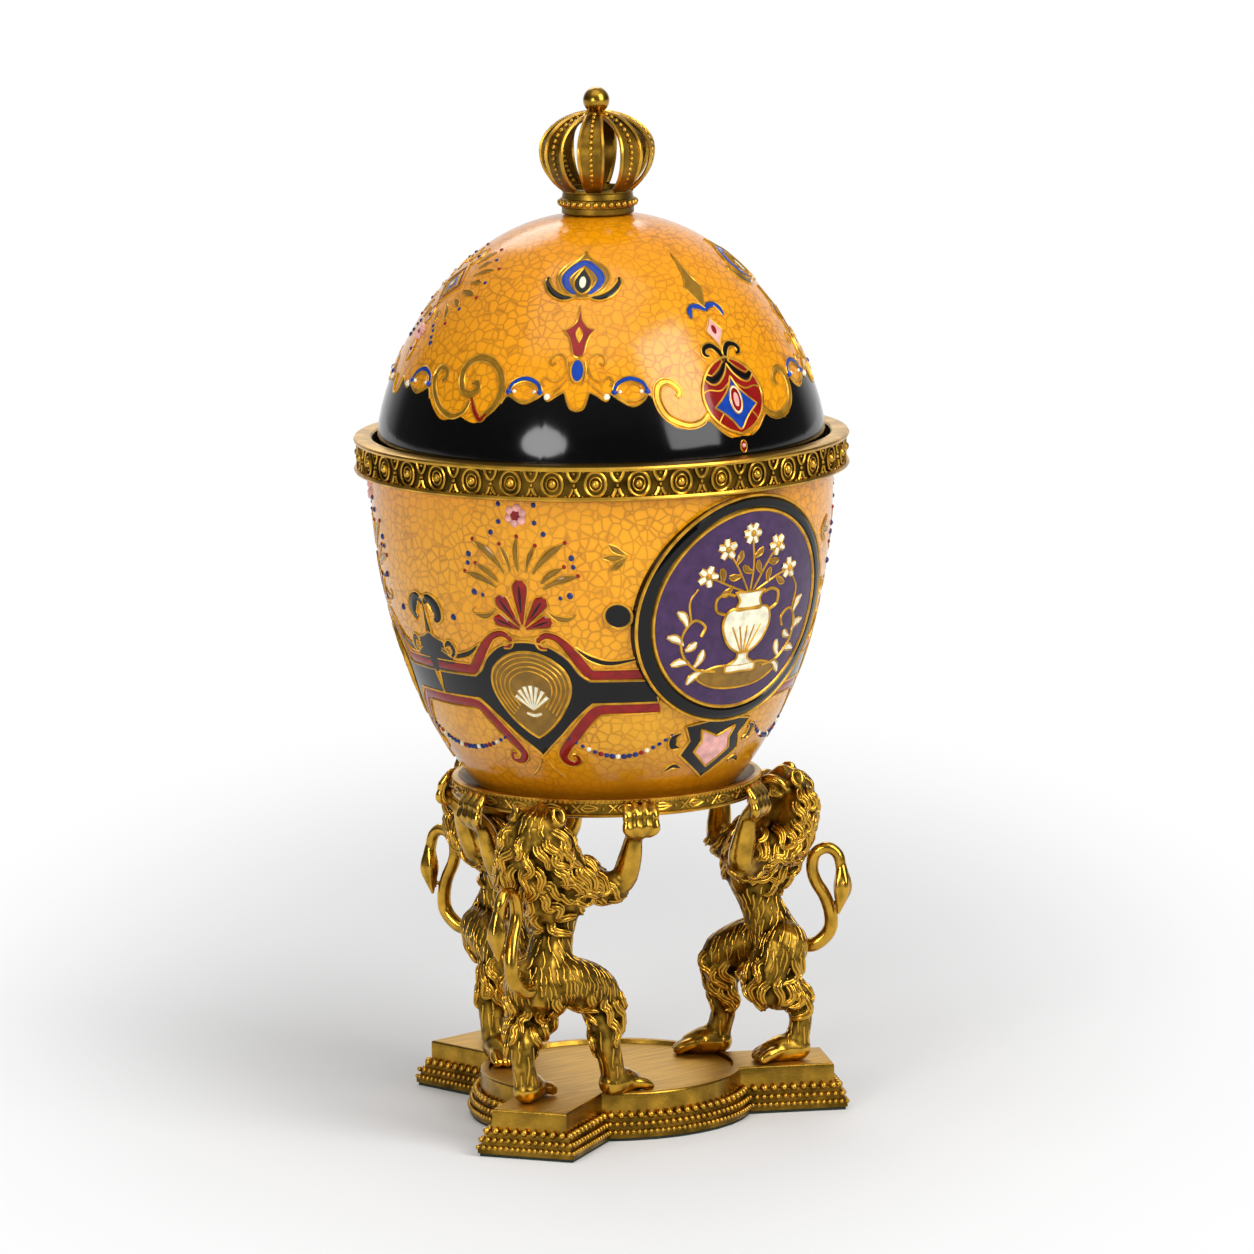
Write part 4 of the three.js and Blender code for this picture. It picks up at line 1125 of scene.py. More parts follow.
class EGGBOX_OT_bowl_enamel(bpy.types.Operator):
    """Enamelled and gilded strapwork, palmettes and festoons of the bowl"""

    bl_idname = "eggbox.bowl_enamel"
    bl_label = "Bowl Enamel"

    def execute(self, context):
        art = Ornament()
        for side in (-1, 1):
            for angle, mirror, toward, away, reach in CARTOUCHES:
                board = bowl_board(side * angle, side * mirror)
                strapwork(art, board, toward, away)
                palmette(art, board)
                art.patch(board, oval(reach, -35.8, 4.2, 4.0), "black", 0.42, 0.5)
                for tip in ((reach - 1.5, -13.5), (reach - 3.5, -17.5), (reach - 1.5, -21.5)):
                    art.ribbon(board, leaf((reach + 4, -17), tip, 2.0, 0.05), "olive", 0.24, 0.24)
            anchor(art, bowl_board(side * ANCHOR_ANGLE))
            for first, last, dip, count in SWAGS:
                swag(art, side * first, side * last, dip, count)
        for angle in (0, 180):
            shield(art, bowl_board(angle))
        art.finish("bowl_ornament", context, "stand")
        return {"FINISHED"}


def urn(art, at):
    """Cream urn of flowers between scrolling leaves, on a gold bank."""
    art.patch(at, both([(0, -17.4), (9, -17.2), (15, -20), (9, -23.6), (0, -24.6)]), "olive", 0.26, 0.4)
    body = [(0, 0.4), (6.2, 0.6), (8.6, -1.6), (8.8, -5.4), (6.4, -10.2), (2.6, -13), (0, -13.4)]
    art.patch(at, both(body), "cream", 0.62, 0.42)
    neck = [(0, 5.6), (5.6, 5.8), (5.6, 5.8), (3.8, 3.2), (4.8, 0.2), (0, 0.2)]
    art.patch(at, both(neck), "cream", 0.54, 0.4)
    foot = [(0, -13), (1.9, -13.2), (2.2, -15.4), (5.6, -17.4), (5.6, -17.4), (5.2, -19.4), (0, -19.4)]
    art.patch(at, both(foot), "cream", 0.5, 0.4)
    art.curve(at, [(-8.6, -2.4), (0, -3.2), (8.6, -2.4)], 0.36)
    for x in (-5.4, -2.8, 0, 2.8, 5.4):
        art.line(at, [(x, -5), (x * 0.55, -9.6), (x * 0.25, -12.6)], 0.3, False, 0.6)
    stems = (((0, 6), (0.6, 14), (-0.4, 23.5)), ((-1, 6), (-5, 13), (-9.4, 19.4)),
             ((1, 6), (5.4, 13), (10, 19)), ((-2, 5.6), (-9, 8.6), (-15.6, 11.6)),
             ((2, 5.6), (9, 8.8), (16, 11)))
    for k, stem in enumerate(stems):
        art.curve(at, stem, 0.36)
        x, y = stem[-1]
        petals = 6 if k == 0 else 5
        for p in range(petals):
            turn = p / petals * math.tau + 0.4 * k
            tip = (x + 3.3 * math.cos(turn), y + 3.3 * math.sin(turn))
            petal = [(x, y, 0.8), ((x + tip[0]) / 2, (y + tip[1]) / 2, 2.2), (*tip, 1.5)]
            art.ribbon(at, petal, "cream", 0.5, 0.22)
        art.dot(at, x, y, 1.1, "gilding", 0.6)
        start, middle, end = (Vector(place) for place in stem)
        ahead = (end - start).normalized()
        for foot, way in ((start.lerp(middle, 0.7), 1), (middle.lerp(end, 0.24), -1)):
            across = Vector((-ahead.y, ahead.x)) * way
            blade = leaf(foot, foot + ahead * 2.4 + across * 3.8, 1.9, 0.1 * way)
            art.ribbon(at, blade, "olive", 0.42, 0.24)
    for board in at.sides():
        art.curve(board, [(8.2, -1), (11.6, 0.6), (11.8, 4.2), (8.8, 5.6), (5.6, 4.8)], 0.55)
        scroll = [(9, -18.6), (15.6, -17.4), (20.6, -12.4), (21.6, -6.2), (18.6, -1.8), (14.8, -3.8),
                  (15.6, -7)]
        art.curve(board, scroll, 0.5)
        leaves = (((13, -18), (17.6, -22)), ((18.2, -15.2), (23.6, -15.6)), ((21, -9.4), (26.2, -6.4)),
                  ((20.6, -3.6), (24.2, 1.4)), ((16.4, -16.6), (14.4, -11.2)), ((20.2, -11), (17, -8.6)))
        for start, end in leaves:
            art.ribbon(board, leaf(start, end, 2.3, 0.12), "cream", 0.44, 0.26)
        art.curve(board, [(19.4, -2.4), (20.6, 4), (18.4, 8)], 0.36)


class EGGBOX_OT_medallions(bpy.types.Operator):
    """Raised plaques on the bowl: purple field, black border with gold rims and an urn of flowers"""

    bl_idname = "eggbox.medallions"
    bl_label = "Medallions"

    def execute(self, context):
        for node, side in (("medallion_front", -1), ("medallion_back", 1)):
            art = Ornament()
            at = Plaque(node, side)
            edge = at.radius - 0.25
            border = 4.6
            back = -PLAQUE_THICKNESS - 0.2
            art.patch(at, oval(0, 0, edge, edge, 48), "black", 0.0, sunk=back, cell=4, steps=2)
            turns = [k / 64 * math.tau for k in range(65)]
            ring = [(*polar(a, edge - border / 2).xy, border - 0.4) for a in turns]
            art.ribbon(at, ring, "black", 0.7)
            for radius, width in ((edge - 0.1, 0.55), (edge - border, 0.6)):
                art.line(at, oval(0, 0, radius, radius, 96), width, True, 0.05)
            field = edge - border - 0.1
            art.patch(at, oval(0, 0, field, field, 48), "purple", 0.14, cell=4, steps=2)
            urn(art, at)
            art.finish(f"{node}_enamel", context, "stand", [node])
        return {"FINISHED"}


class EGGBOX_OT_bowl(bpy.types.Operator):
    """Porcelain bowl of the egg, with its wall, its floor and a white inside"""

    bl_idname = "eggbox.bowl"
    bl_label = "Bowl"

    def execute(self, context):
        bm = bmesh.new()
        floor = BOWL_BOTTOM + BOWL_WALL
        heights = [SHOULDER - (SHOULDER - BOWL_BOTTOM) * math.cos(i / 60 * math.pi / 2) for i in range(61)]
        outside = [(bowl_radius(z), z) for z in heights]
        inside = [
            (bowl_radius(z) - BOWL_WALL, z)
            for z in (floor + (SHOULDER - floor) * (i / 40) ** 0.8 for i in range(41))
        ]
        rim = [(BOWL_RADIUS, MOUTH - 0.6), (BOWL_RADIUS - 0.6, MOUTH)]
        rim += [(BOWL_RADIUS - BOWL_WALL + 0.6, MOUTH), (BOWL_RADIUS - BOWL_WALL, MOUTH - 0.6)]
        profile = [(BOLT_BORE, BOWL_BOTTOM), *outside, *rim, *reversed(inside), (BOLT_BORE, floor)]
        paint_where(lathe(bm, profile), lambda radius, z: radius < bowl_radius(z) - 0.5 * BOWL_WALL)
        piece("bowl_porcelain", bm, context, ("glaze", "lining"), "stand", ["bowl_shell"])
        return {"FINISHED"}


class EGGBOX_OT_lid(bpy.types.Operator):
    """Porcelain dome of the lid, with its locating flange and a white inside"""

    bl_idname = "eggbox.lid"
    bl_label = "Lid"

    def execute(self, context):
        bm = bmesh.new()
        flange = BOWL_RADIUS - BOWL_WALL - FLANGE_PLAY
        seat_radius = 6.3
        outside = [point for point in lid_profile(0, 80) if point[0] > SCREW_BORE]
        inside = [point for point in lid_profile(LID_WALL, 50) if point[0] > seat_radius]
        seat = inside[-1][1]
        profile = [
            (flange - FLANGE_WALL, LID_FOOT + 0.5), (flange - FLANGE_WALL + 0.5, LID_FOOT),
            (flange - 0.5, LID_FOOT), (flange, LID_FOOT + 0.5), (flange, MOUTH), (LID_RADIUS - 0.4, MOUTH),
            (LID_RADIUS, MOUTH + 0.4), *outside, (SCREW_BORE, LID_TOP), (SCREW_BORE, seat),
            (seat_radius, seat), *reversed(inside), (flange - FLANGE_WALL, MOUTH),
        ]
        faces = lathe(bm, profile)
        paint_where(faces, lambda radius, z: radius < lid_radius(z) - 0.5 * LID_WALL or z < MOUTH)
        piece("lid_porcelain", bm, context, ("glaze", "lining"), "lid", ["lid_shell"])
        return {"FINISHED"}


class EGGBOX_OT_rim_band(bpy.types.Operator):
    """Cast brass band with polished lips and a row of ovals with darts between them"""

    bl_idname = "eggbox.rim_band"
    bl_label = "Rim Band"

    def execute(self, context):
        bm = bmesh.new()
        inside = BOWL_RADIUS + 0.3
        lip_inside = BOWL_RADIUS - 0.75
        recess = BAND_RADIUS - 1.7
        low_lip, high_lip = SHOULDER + 1.5, BAND_TOP - 1.5
        profile = [
            (inside, SHOULDER), (BAND_RADIUS - 1.1, SHOULDER), (BAND_RADIUS - 0.25, SHOULDER + 0.35),
            (BAND_RADIUS, SHOULDER + 0.85), (BAND_RADIUS - 0.3, low_lip), (recess, low_lip + 0.15),
            (recess, high_lip - 0.15), (BAND_RADIUS - 0.3, high_lip), (BAND_RADIUS, BAND_TOP - 0.85),
            (BAND_RADIUS - 0.3, BAND_TOP - 0.3), (BAND_RADIUS - 1.2, BAND_TOP),
            (lip_inside + 0.5, BAND_TOP), (lip_inside, BAND_TOP - 0.5), (lip_inside, MOUTH + 0.3),
            (inside, MOUTH + 0.3),
        ]
        # The recessed ground between the ovals is dark: patina and painted shade
        paint_where(lathe(bm, profile), lambda radius, z: radius < recess + 0.4 and low_lip < z < high_lip)
        count = context.scene.egg_box_sizes.band_ovals
        pitch = math.tau / count
        middle = (SHOULDER + BAND_TOP) / 2

        def on_band(turn, across, up, out=-1.3):
            return polar(turn + across / BAND_RADIUS, BAND_RADIUS + out, middle + up)

        strokes = []
        # Half of a dart: a prong over a drop and a leaf under it
        dart = (((2.0, 4.0), (1.6, 2.5), (0.8, 1.2), (0, 0.8)), ((0.45, -1.3), (0.8, -2.4), (1.6, -3.7)))
        drops = ((0, 3.2, 0.5), (0, -0.3, 0.62), (0, -3.4, 0.5), (2.6, -3.8, 0.45), (3.0, 3.9, 0.45))
        for i in range(count):
            turn = i * pitch
            for wide, tall, radius in ((3.2, 3.75, 0.45), (1.8, 2.1, 0.22)):
                ring = [(on_band(turn, x, y), radius) for x, y in oval(0, 0, wide, tall, 16)]
                strokes.append((ring, True))
            bead(bm, on_band(turn, 0, 0, -1.5), 1.4, around=12, along=7)
            between = turn + pitch / 2
            for side in (-1, 1):
                for path in dart:
                    strokes.append(([(on_band(between, side * x, y), 0.5) for x, y in path], False))
                for x, y, radius in drops:
                    if x or side > 0:
                        bead(bm, on_band(between, side * x, y), radius, around=6, along=4)
        tubes(bm, strokes)
        piece("rim_band_chased", bm, context, ("rubbed", "recess"), "stand", ["rim_band"])
        return {"FINISHED"}


class EGGBOX_OT_stand_ring(bpy.types.Operator):
    """Brass dish ring under the bowl, with a bead row, a chased frieze and a lower lip"""

    bl_idname = "eggbox.stand_ring"
    bl_label = "Stand Ring"

    def execute(self, context):
        bm = bmesh.new()
        floor = RING_BOTTOM + 2
        recess = RING_RADIUS - 0.75
        profile = [
            (BOLT_BORE, RING_BOTTOM), (RING_RADIUS - 1.2, RING_BOTTOM),
            (RING_RADIUS - 0.35, RING_BOTTOM + 0.25), (RING_RADIUS - 0.1, RING_BOTTOM + 0.7),
            (RING_RADIUS - 0.45, RING_BOTTOM + 1.1), (recess, RING_BOTTOM + 1.2), (recess, RING_TOP - 1.3),
            (RING_RADIUS - 0.5, RING_TOP - 0.6), (RING_RADIUS - 0.5, RING_TOP - 0.2),
            (RING_RADIUS - 0.8, RING_TOP), (RING_RADIUS - 2.2, RING_TOP), (FOOT_RADIUS + 0.3, floor),
            (BOLT_BORE, floor),
        ]
        # The frieze's ground takes the darker finish: patina and painted shade between the raised beads and
        # strokes
        paint_where(lathe(bm, profile, 120), lambda radius, z: RING_BOTTOM + 1 < z < RING_TOP - 1)

        def on_ring(along, up, out=0.1):
            return polar(along / RING_RADIUS, recess + out, RING_BOTTOM + up)

        girth = math.tau * RING_RADIUS
        beads = 190
        for i in range(beads):
            bead(bm, on_ring(i / beads * girth, 4.75, 0.2), 0.56, around=6, along=4)
        units = 26
        step = girth / units
        # Each unit of the frieze: paths along and up the ring, and the radius of their strokes
        frieze = [([(1.2, 2.9), (2.8, 2.9), (4.6, 2.9)], 0.28)]
        for side, shoulder, tip in ((-1, 1.9, 2.1), (1, 3.9, 3.7)):
            frieze.append((smooth_line([(0.2, 2.9), (1.6, shoulder), (3.6, tip), (5.6, 2.9)], 3), 0.34))
            cross = [(step - 2.6, 2.8 - 1.2 * side), (step - 1.3, 2.8), (step, 2.8 + 1.2 * side)]
            frieze.append((cross, 0.32))
        strokes = []
        for i in range(units):
            for path, radius in frieze:
                strokes.append(([(on_ring(i * step + x, y), radius) for x, y in path], False))
            bead(bm, on_ring(i * step + 7.2, 2.9), 0.62, around=6, along=4)
        tubes(bm, strokes)
        piece("stand_ring_chased", bm, context, ("rubbed", "aged"), "stand", ["stand_ring"])
        return {"FINISHED"}


def plinth_plan(offset):
    """Outline of the plinth, a disc with three arms, let out all round by an offset."""
    radius = DISC_RADIUS + offset
    half_width = ARM_HALF_WIDTH + offset
    reach = ARM_REACH + offset
    half = math.asin(half_width / radius)
    turns = sorted(math.radians(azimuth) for azimuth in LION_AZIMUTHS.values())
    outline = []
    for i, turn in enumerate(turns):
        out = polar(turn, 1).xy
        across = Vector((-out.y, out.x))
        outline += [out * reach - across * half_width, out * reach + across * half_width]
        end = (turns[i + 1] if i + 1 < len(turns) else turns[0] + math.tau) - half
        outline += [polar(a, 1).xy * radius for a in np.linspace(turn + half, end, 28)]
    return outline


def slab(bm, outline, bottom, top, bevel):
    """Flat outline raised between two heights, with its upper edge rounded."""
    base = bm.faces.new([bm.verts.new((p.x, p.y, bottom)) for p in outline])
    raised = bmesh.ops.extrude_face_region(bm, geom=[base], use_keep_orig=True)["geom"]
    bmesh.ops.translate(bm, vec=(0, 0, top - bottom), verts=only(raised, BMVert))
    round_edges(bm, only(raised, BMEdge), bevel)


def beads_along(bm, outline, height, radius, pitch):
    """Row of beads, evenly spaced along a closed outline."""
    sides = list(zip(outline, outline[1:] + outline[:1]))
    lengths = np.cumsum([0] + [(other - one).length for one, other in sides])
    count = round(lengths[-1] / pitch)
    for i in range(count):
        reach = i / count * lengths[-1]
        k = int(np.searchsorted(lengths, reach, side="right") - 1)
        one, other = sides[k]
        spot = one.lerp(other, (reach - lengths[k]) / (lengths[k + 1] - lengths[k]))
        bead(bm, (spot.x, spot.y, height), radius)


def drawn_down(bm, edges, drop):
    """Wall drawn down from edges and closed by a floor. Gives its lower vertices, its faces and the floor."""
    wall = bmesh.ops.extrude_edge_only(bm, edges=edges)["geom"]
    verts = only(wall, BMVert)
    bmesh.ops.translate(bm, vec=(0, 0, drop), verts=verts)
    rim = [edge for edge in only(wall, BMEdge) if edge.is_boundary]
    floor = bmesh.ops.contextual_create(bm, geom=rim)["faces"]
    return verts, only(wall, BMFace), floor


class EGGBOX_OT_plinth(bpy.types.Operator):
    """Three-armed brass plinth with a brushed dish and bead rows round its moulding"""

    bl_idname = "eggbox.plinth"
    bl_label = "Plinth"

    def execute(self, context):
        bm = bmesh.new()
        outline = [bm.verts.new((p.x, p.y, PLINTH_TOP)) for p in plinth_plan(0)]
        outer = [bm.edges.new(pair) for pair in zip(outline, outline[1:] + outline[:1])]
        hole = bmesh.ops.create_circle(
            bm, segments=96, radius=DISH_RADIUS, matrix=Matrix.Translation((0, 0, PLINTH_TOP))
        )["verts"]
        inner = list({edge for vert in hole for edge in vert.link_edges})
        bmesh.ops.triangle_fill(bm, edges=outer + inner, use_beauty=True, normal=(0, 0, 1))
        sunk, _, _ = drawn_down(bm, inner, DISH_FLOOR - PLINTH_TOP)
        for vert in sunk:
            vert.co.xy *= (DISH_RADIUS - 0.5) / DISH_RADIUS
        # The flat top and the dish's floor are brushed
        for face in bm.faces:
            if face.calc_center_median().z > PLINTH_TOP - 0.1 or len(face.verts) > 4:
                face.material_index = 1
        _, skirt, base = drawn_down(bm, outer, BLOCK_BOTTOM - PLINTH_TOP)
        paint(skirt + base, 0)
        round_edges(bm, outer, 0.7)
        piece("plinth_cast", bm, context, ("bright", "brushed"), "stand", ["plinth_block"])

        bm = bmesh.new()
        pitch = context.scene.egg_box_sizes.bead_pitch / MM
        courses = 3
        step = (BLOCK_BOTTOM - MOULDING_BOTTOM) / courses
        for i in range(courses):
            bottom = MOULDING_BOTTOM + i * step
            slab(bm, plinth_plan(MOULDING_REACH - i * 1.0 - 0.7), bottom, bottom + step, 0.45)
        # The moulding's steps take the darker finish: patina and painted shade under the beads
        paint(bm.faces, 1)
        # Rows of beads: set in from the moulding's edge, height, radius and share of the pitch
        rows = (
            (2.75, BLOCK_BOTTOM + 0.35, 1.15, 1), (1.45, BLOCK_BOTTOM - step - 0.05, 0.85, 0.72),
            (0.75, MOULDING_BOTTOM + step - 0.25, 0.75, 0.6),
        )
        for inset, height, radius, share in rows:
            beads_along(bm, plinth_plan(MOULDING_REACH - inset), height, radius, pitch * share)
        piece("plinth_beading", bm, context, ("rubbed", "aged"), "stand", ["plinth_moulding"])
        return {"FINISHED"}


class EGGBOX_OT_crown(bpy.types.Operator):
    """Brass crown finial: circlet with beads, eight beaded arches and a ball"""

    bl_idname = "eggbox.crown"
    bl_label = "Crown"

    def execute(self, context):
        outside = 11.05
        wall = 2.0
        bm = bmesh.new()
        bead_height = CIRCLET_BOTTOM + 3.4
        beads = 30
        # Lower and upper mouldings, from the circlet's outside and from its ends
        lower = ((-wall, 0.1), (-0.3, 0), (0, 0.35), (0, 1.9), (0.35, 2.2), (0.35, 4.5), (-0.1, 4.8))
        upper = ((-0.4, -1.4), (-0.1, -1.1), (-0.1, -0.2), (-0.4, 0), (-wall, 0))
        profile = [
            (SCREW_BORE, LID_TOP + 0.3), (outside - wall, LID_TOP + 0.3),
            *shifted(lower, outside, CIRCLET_BOTTOM), *shifted(upper, outside, CIRCLET_TOP),
            (outside - wall, LID_TOP + 2.7), (SCREW_BORE, LID_TOP + 2.7),
        ]
        # The circlet takes the darker finish: patina and painted shade under its beads
        lathe(bm, profile, 64, 1)
        for i in range(beads):
            place = polar(i / beads * math.tau, outside + 0.35, bead_height)
            bead(bm, place, 1.05, around=10, along=6)
        piece("crown_circlet_turned", bm, context, ("rubbed", "aged"), "lid", ["crown_circlet"])

        bm = bmesh.new()
        arches = 8
        swell = CIRCLET_TOP + 11.7
        lower = [
            ((1 - t) ** 2 * outside + (1 - (1 - t) ** 2) * ARCH_RADIUS,
             (1 - t) ** 2 * CIRCLET_TOP + 2 * t * (1 - t) * (swell - 7.2) + t * t * swell)
            for t in (k / 8 for k in range(8))
        ]
        upper = [
            (ARCH_RADIUS * math.cos(a), swell + (ARCH_TOP - swell) * math.sin(a))
            for a in (k / 10 * math.pi / 2 for k in range(10))
        ]
        # Each row of an arch: radius and height of its middle, and half of its width
        rows = []
        for reach, height in lower + upper:
            share = (height - CIRCLET_TOP) / (ARCH_TOP - CIRCLET_TOP)
            half = 2.0 + 1.7 * math.sin(math.pi * min(max(share, 0), 1)) ** 0.8
            rows.append((reach, height, min(half, max(reach * math.tan(math.pi / arches) * 0.92, 0.35))))
        count = len(rows) - 1
        strokes = []
        for i in range(arches):
            turn = Matrix.Rotation(i / arches * math.tau, 4, "Z")
            grid = bmesh.ops.create_grid(bm, x_segments=count, y_segments=2, size=0.5)["verts"]
            plate = list({face for vert in grid for face in vert.link_faces})
            for vert in grid:
                reach, height, half = rows[round((vert.co.x + 0.5) * count)]
                vert.co = turn @ Vector((reach - 0.75, vert.co.y * 2 * half, height - 0.3))
            # Each arch's plate takes the darker finish: patina and painted shade between its beaded edges
            paint(plate, 1)
            bmesh.ops.solidify(bm, geom=plate, thickness=0.9)
            for side in (-1, 1):
                edge = [
                    (turn @ Vector((reach - 0.55, side * half, height)), 0.62 if half > 0.6 else 0.4)
                    for reach, height, half in rows
                ]
                strokes.append((edge, False))
            for reach, height, half in rows[1:-1]:
                if half > 0.9:
                    bead(bm, turn @ Vector((reach - 0.55, 0, height)), 0.72)
        tubes(bm, strokes)
        button = ((0, 2.2), (2.6, 2.0), (3.2, 1.2), (2.4, 0.4), (0, 0.2))
        lathe(bm, [(radius, ARCH_TOP - below) for radius, below in button], 24, closed=False)
        piece("crown_arches_cast", bm, context, ("rubbed", "aged"), "lid", ["crown_arches"])

        bm = bmesh.new()
        neck = 2.0
        radius = (BALL_TOP - ARCH_TOP) / 1.862
        centre = BALL_TOP - radius
        profile = [(0, ARCH_TOP - 1.5), (2.4, ARCH_TOP - 0.7), (neck, ARCH_TOP + 0.2)]
        steps = 18
        start = math.asin(neck / radius)
        for k in range(steps + 1):
            turn = start + k / steps * (math.pi - start)
            profile.append((radius * math.sin(turn) if k < steps else 0, centre - radius * math.cos(turn)))
        lathe(bm, profile, 40, closed=False)
        piece("crown_ball", bm, context, ("bright",), "lid", ["crown_orb"])
        return {"FINISHED"}


# A lion's figure, for each joint: out from the ring's face, sideways, share of the lion's height, radius
LIMBS = [
    [(5.6, 0, 0.41, 8.4), (-0.8, 0, 0.585, 6.5), (-2.6, 0, 0.71, 9.2), (3.2, 0, 0.83, 8.0)],
    [(5.0, 0, 0.85, 7.4), (7.6, 0, 0.975, 7.0)],
    [(6.0, 0, 0.955, 5.4), (0.6, 0, 0.948, 3.7)],
    [(7.2, 0, 1.035, 2.8), (3.4, 0, 1.01, 2.3), (0.4, 0, 0.982, 1.9)],
    [(5.0, 0, 0.86, 4.8), (0.2, 0, 0.848, 3.3), (-3.2, 0, 0.842, 2.3)],
    [(4.0, 0, 0.815, 5.8), (-1.4, 0, 0.765, 5.6)],
    [(10.2, 0, 0.965, 7.2), (8.6, 0, 0.85, 7.8), (4.0, 0, 0.7, 6.4)],
    [(11.0, -4.6, 0.945, 5.6), (7.0, -7.6, 0.82, 6.0), (1.2, -10.4, 0.772, 6.0)],
    [(11.0, 4.6, 0.945, 5.6), (7.0, 7.6, 0.82, 6.0), (1.2, 10.4, 0.772, 6.0)],
    [(5.6, -5, 0.42, 8.2), (0.8, -6.6, 0.285, 7.0), (9.2, -6.2, 0.225, 4.6), (11, -5.4, 0.15, 3.6),
     (9.6, -5, 0.07, 3.8)],
    [(10, -5, 0.045, 4.2), (5.8, -5.1, 0.046, 4.6), (1.4, -5.4, 0.034, 3.8)],
    [(2.6, 5, 0.43, 7.8), (-5.5, 9, 0.4, 7.2), (-11.6, 11.6, 0.345, 6), (-9.4, 14, 0.2, 4.1),
     (-11.4, 15, 0.07, 3.8)],
    [(-11.6, 14.6, 0.034, 4.3), (-15.4, 15.9, 0.034, 4.7), (-19.6, 17.6, 0.02, 3.8)],
]
# Half of a lion's head that is mirrored: brow, eyelids, side of the nose, lip, cheek and lower lip
HEAD = [
    [(0.2, 2.0, 1.015, 1.2), (2.6, 4.8, 1.025, 1.6), (5.6, 6.6, 1.01, 1.3), (7.2, 7.2, 0.985, 0.7)],
    [(1.8, 5.0, 0.972, 0.5), (3.4, 6.3, 0.966, 0.7), (5.2, 6.9, 0.97, 0.5)],
    [(1.2, 2.6, 1.0, 0.9), (0.0, 2.6, 0.972, 1.0), (-0.6, 2.4, 0.955, 1.1)],
    [(-2.6, 1.4, 0.935, 1.6), (0.2, 3.0, 0.928, 2.0), (3.0, 4.4, 0.918, 1.4), (5.0, 5.4, 0.9, 0.9)],
    [(8.4, 6.4, 0.955, 2.0), (6.2, 6.0, 0.925, 2.4), (4.2, 5.2, 0.875, 2.4)],
    [(-3.6, 1.2, 0.862, 0.9), (0.4, 3.2, 0.868, 0.9), (4.0, 4.8, 0.872, 0.7)],
]
ARM_JOINTS = [(-1.4, 9.2, 0.795, 5.8), (-6.4, 15, 0.752, 4.8), (-9.6, 19.8, 0.772, 4.2),
              (-9.0, 22.6, 0.85, 3.7), (-8.0, 24.4, 0.925, 2.8)]
# Ends of each foot, heel and roots of the toes, and how far it stands below the plinth's rim as a share
FEET = [((10, -5), (0.6, -5.5), 0), ((-11.6, 14.6), (-20.4, 18), 0.0138)]
TOES = (-4.2, -1.4, 1.4, 4.2)
# Degrees from the lion's middle to each paw on the ring, and its fingers across the paw
PAW_SPREAD = 33
FINGERS = (-4.35, -1.5, 1.5, 4.35)
# Out from the ring, up from its lower edge and radius of a finger, from knuckle to tip
FINGER_BEND = [(2.6, -4.0, 1.3), (3.9, -2.2, 1.6), (3.5, 0.2, 1.25), (3.2, 1.9, 1.45), (2.0, 3.8, 1.15),
               (1.3, 5.0, 0.9)]
# Nose, lips, eyes and chin
FACE = [
    ((-0.4, 0, 0.975), 1.7), ((0.2, 2.2, 0.94), 2.4), ((0.2, -2.2, 0.94), 2.4), ((3.3, 5.2, 0.987), 1.5),
    ((3.3, -5.2, 0.987), 1.5), ((9.4, 5.2, 1.015), 2.4), ((9.4, -5.2, 1.015), 2.4), ((-3.6, 0, 0.845), 1.9),
]
EAR = (10.4, 7.2, 1.03)
EAR_RADIUS = 2.3
# The way that an ear opens: out, sideways and up
EAR_WAY = (0.45, 0.8, 0.4)
TAIL = [
    (7.4, -1, 0.418, 2.5), (12.3, -1.4, 0.411, 2.4), (16.3, -3, 0.415, 2.3), (20.4, -4.3, 0.462, 2.25),
    (21, -4.8, 0.52, 2.2), (19.2, -5, 0.59, 2.1), (16.2, -5, 0.65, 2.05), (15.2, -5, 0.7, 2.0),
    (16.2, -5.5, 0.75, 1.95), (19.8, -6.5, 0.771, 1.9), (23, -7, 0.745, 1.85), (24, -7.5, 0.69, 1.8),
]
TUFT = [(24, -7.6, 0.695, 1.9), (24.2, -7.9, 0.63, 2.6), (23.6, -8, 0.585, 1.9), (22.7, -8, 0.535, 0.6)]


def lion_point(out, side, share):
    """Place in a lion's own frame, with X out from the axis."""
    return Vector((RING_RADIUS + out, side, PLINTH_TOP + share * LION_HEIGHT))


def rounded(knots, steps):
    """Stroke for tubes with domed ends, smooth through (x, y, z, radius) knots."""
    return domed([(knot.xyz, knot.w) for knot in smooth_line(knots, steps)]), False


def placed(joints, side=1):
    """Knots of a lion's joints, mirrored where the side is -1."""
    return [(*lion_point(out, side * across, share), radius) for out, across, share, radius in joints]


def limb(joints, side=1, steps=4):
    """Stroke of a limb through a lion's joints."""
    return rounded(placed(joints, side), steps)


def domed(line):
    """Stroke with round ends added."""
    first, second, last, previous = line[0], line[1], line[-1], line[-2]
    start = (first[0] - second[0]).normalized()
    end = (last[0] - previous[0]).normalized()
    angles = [math.radians(a) for a in (86, 60, 30)]
    caps = [(first[0] + start * first[1] * math.sin(a), first[1] * math.cos(a)) for a in angles]
    tips = [(last[0] + end * last[1] * math.sin(a), last[1] * math.cos(a)) for a in reversed(angles)]
    return caps + line + tips


def cast(bm, grain):
    """Melts overlapping solids into one skin, and gives its mesh, still in millimetres."""
    mesh = mesh_from("casting", bm)
    maker = bpy.data.objects.new("casting", mesh)
    melt = maker.modifiers.new("Melt", "REMESH")
    melt.mode = "VOXEL"
    melt.voxel_size = grain
    skin = mesh_of(maker)
    bpy.data.meshes.remove(mesh)
    return skin


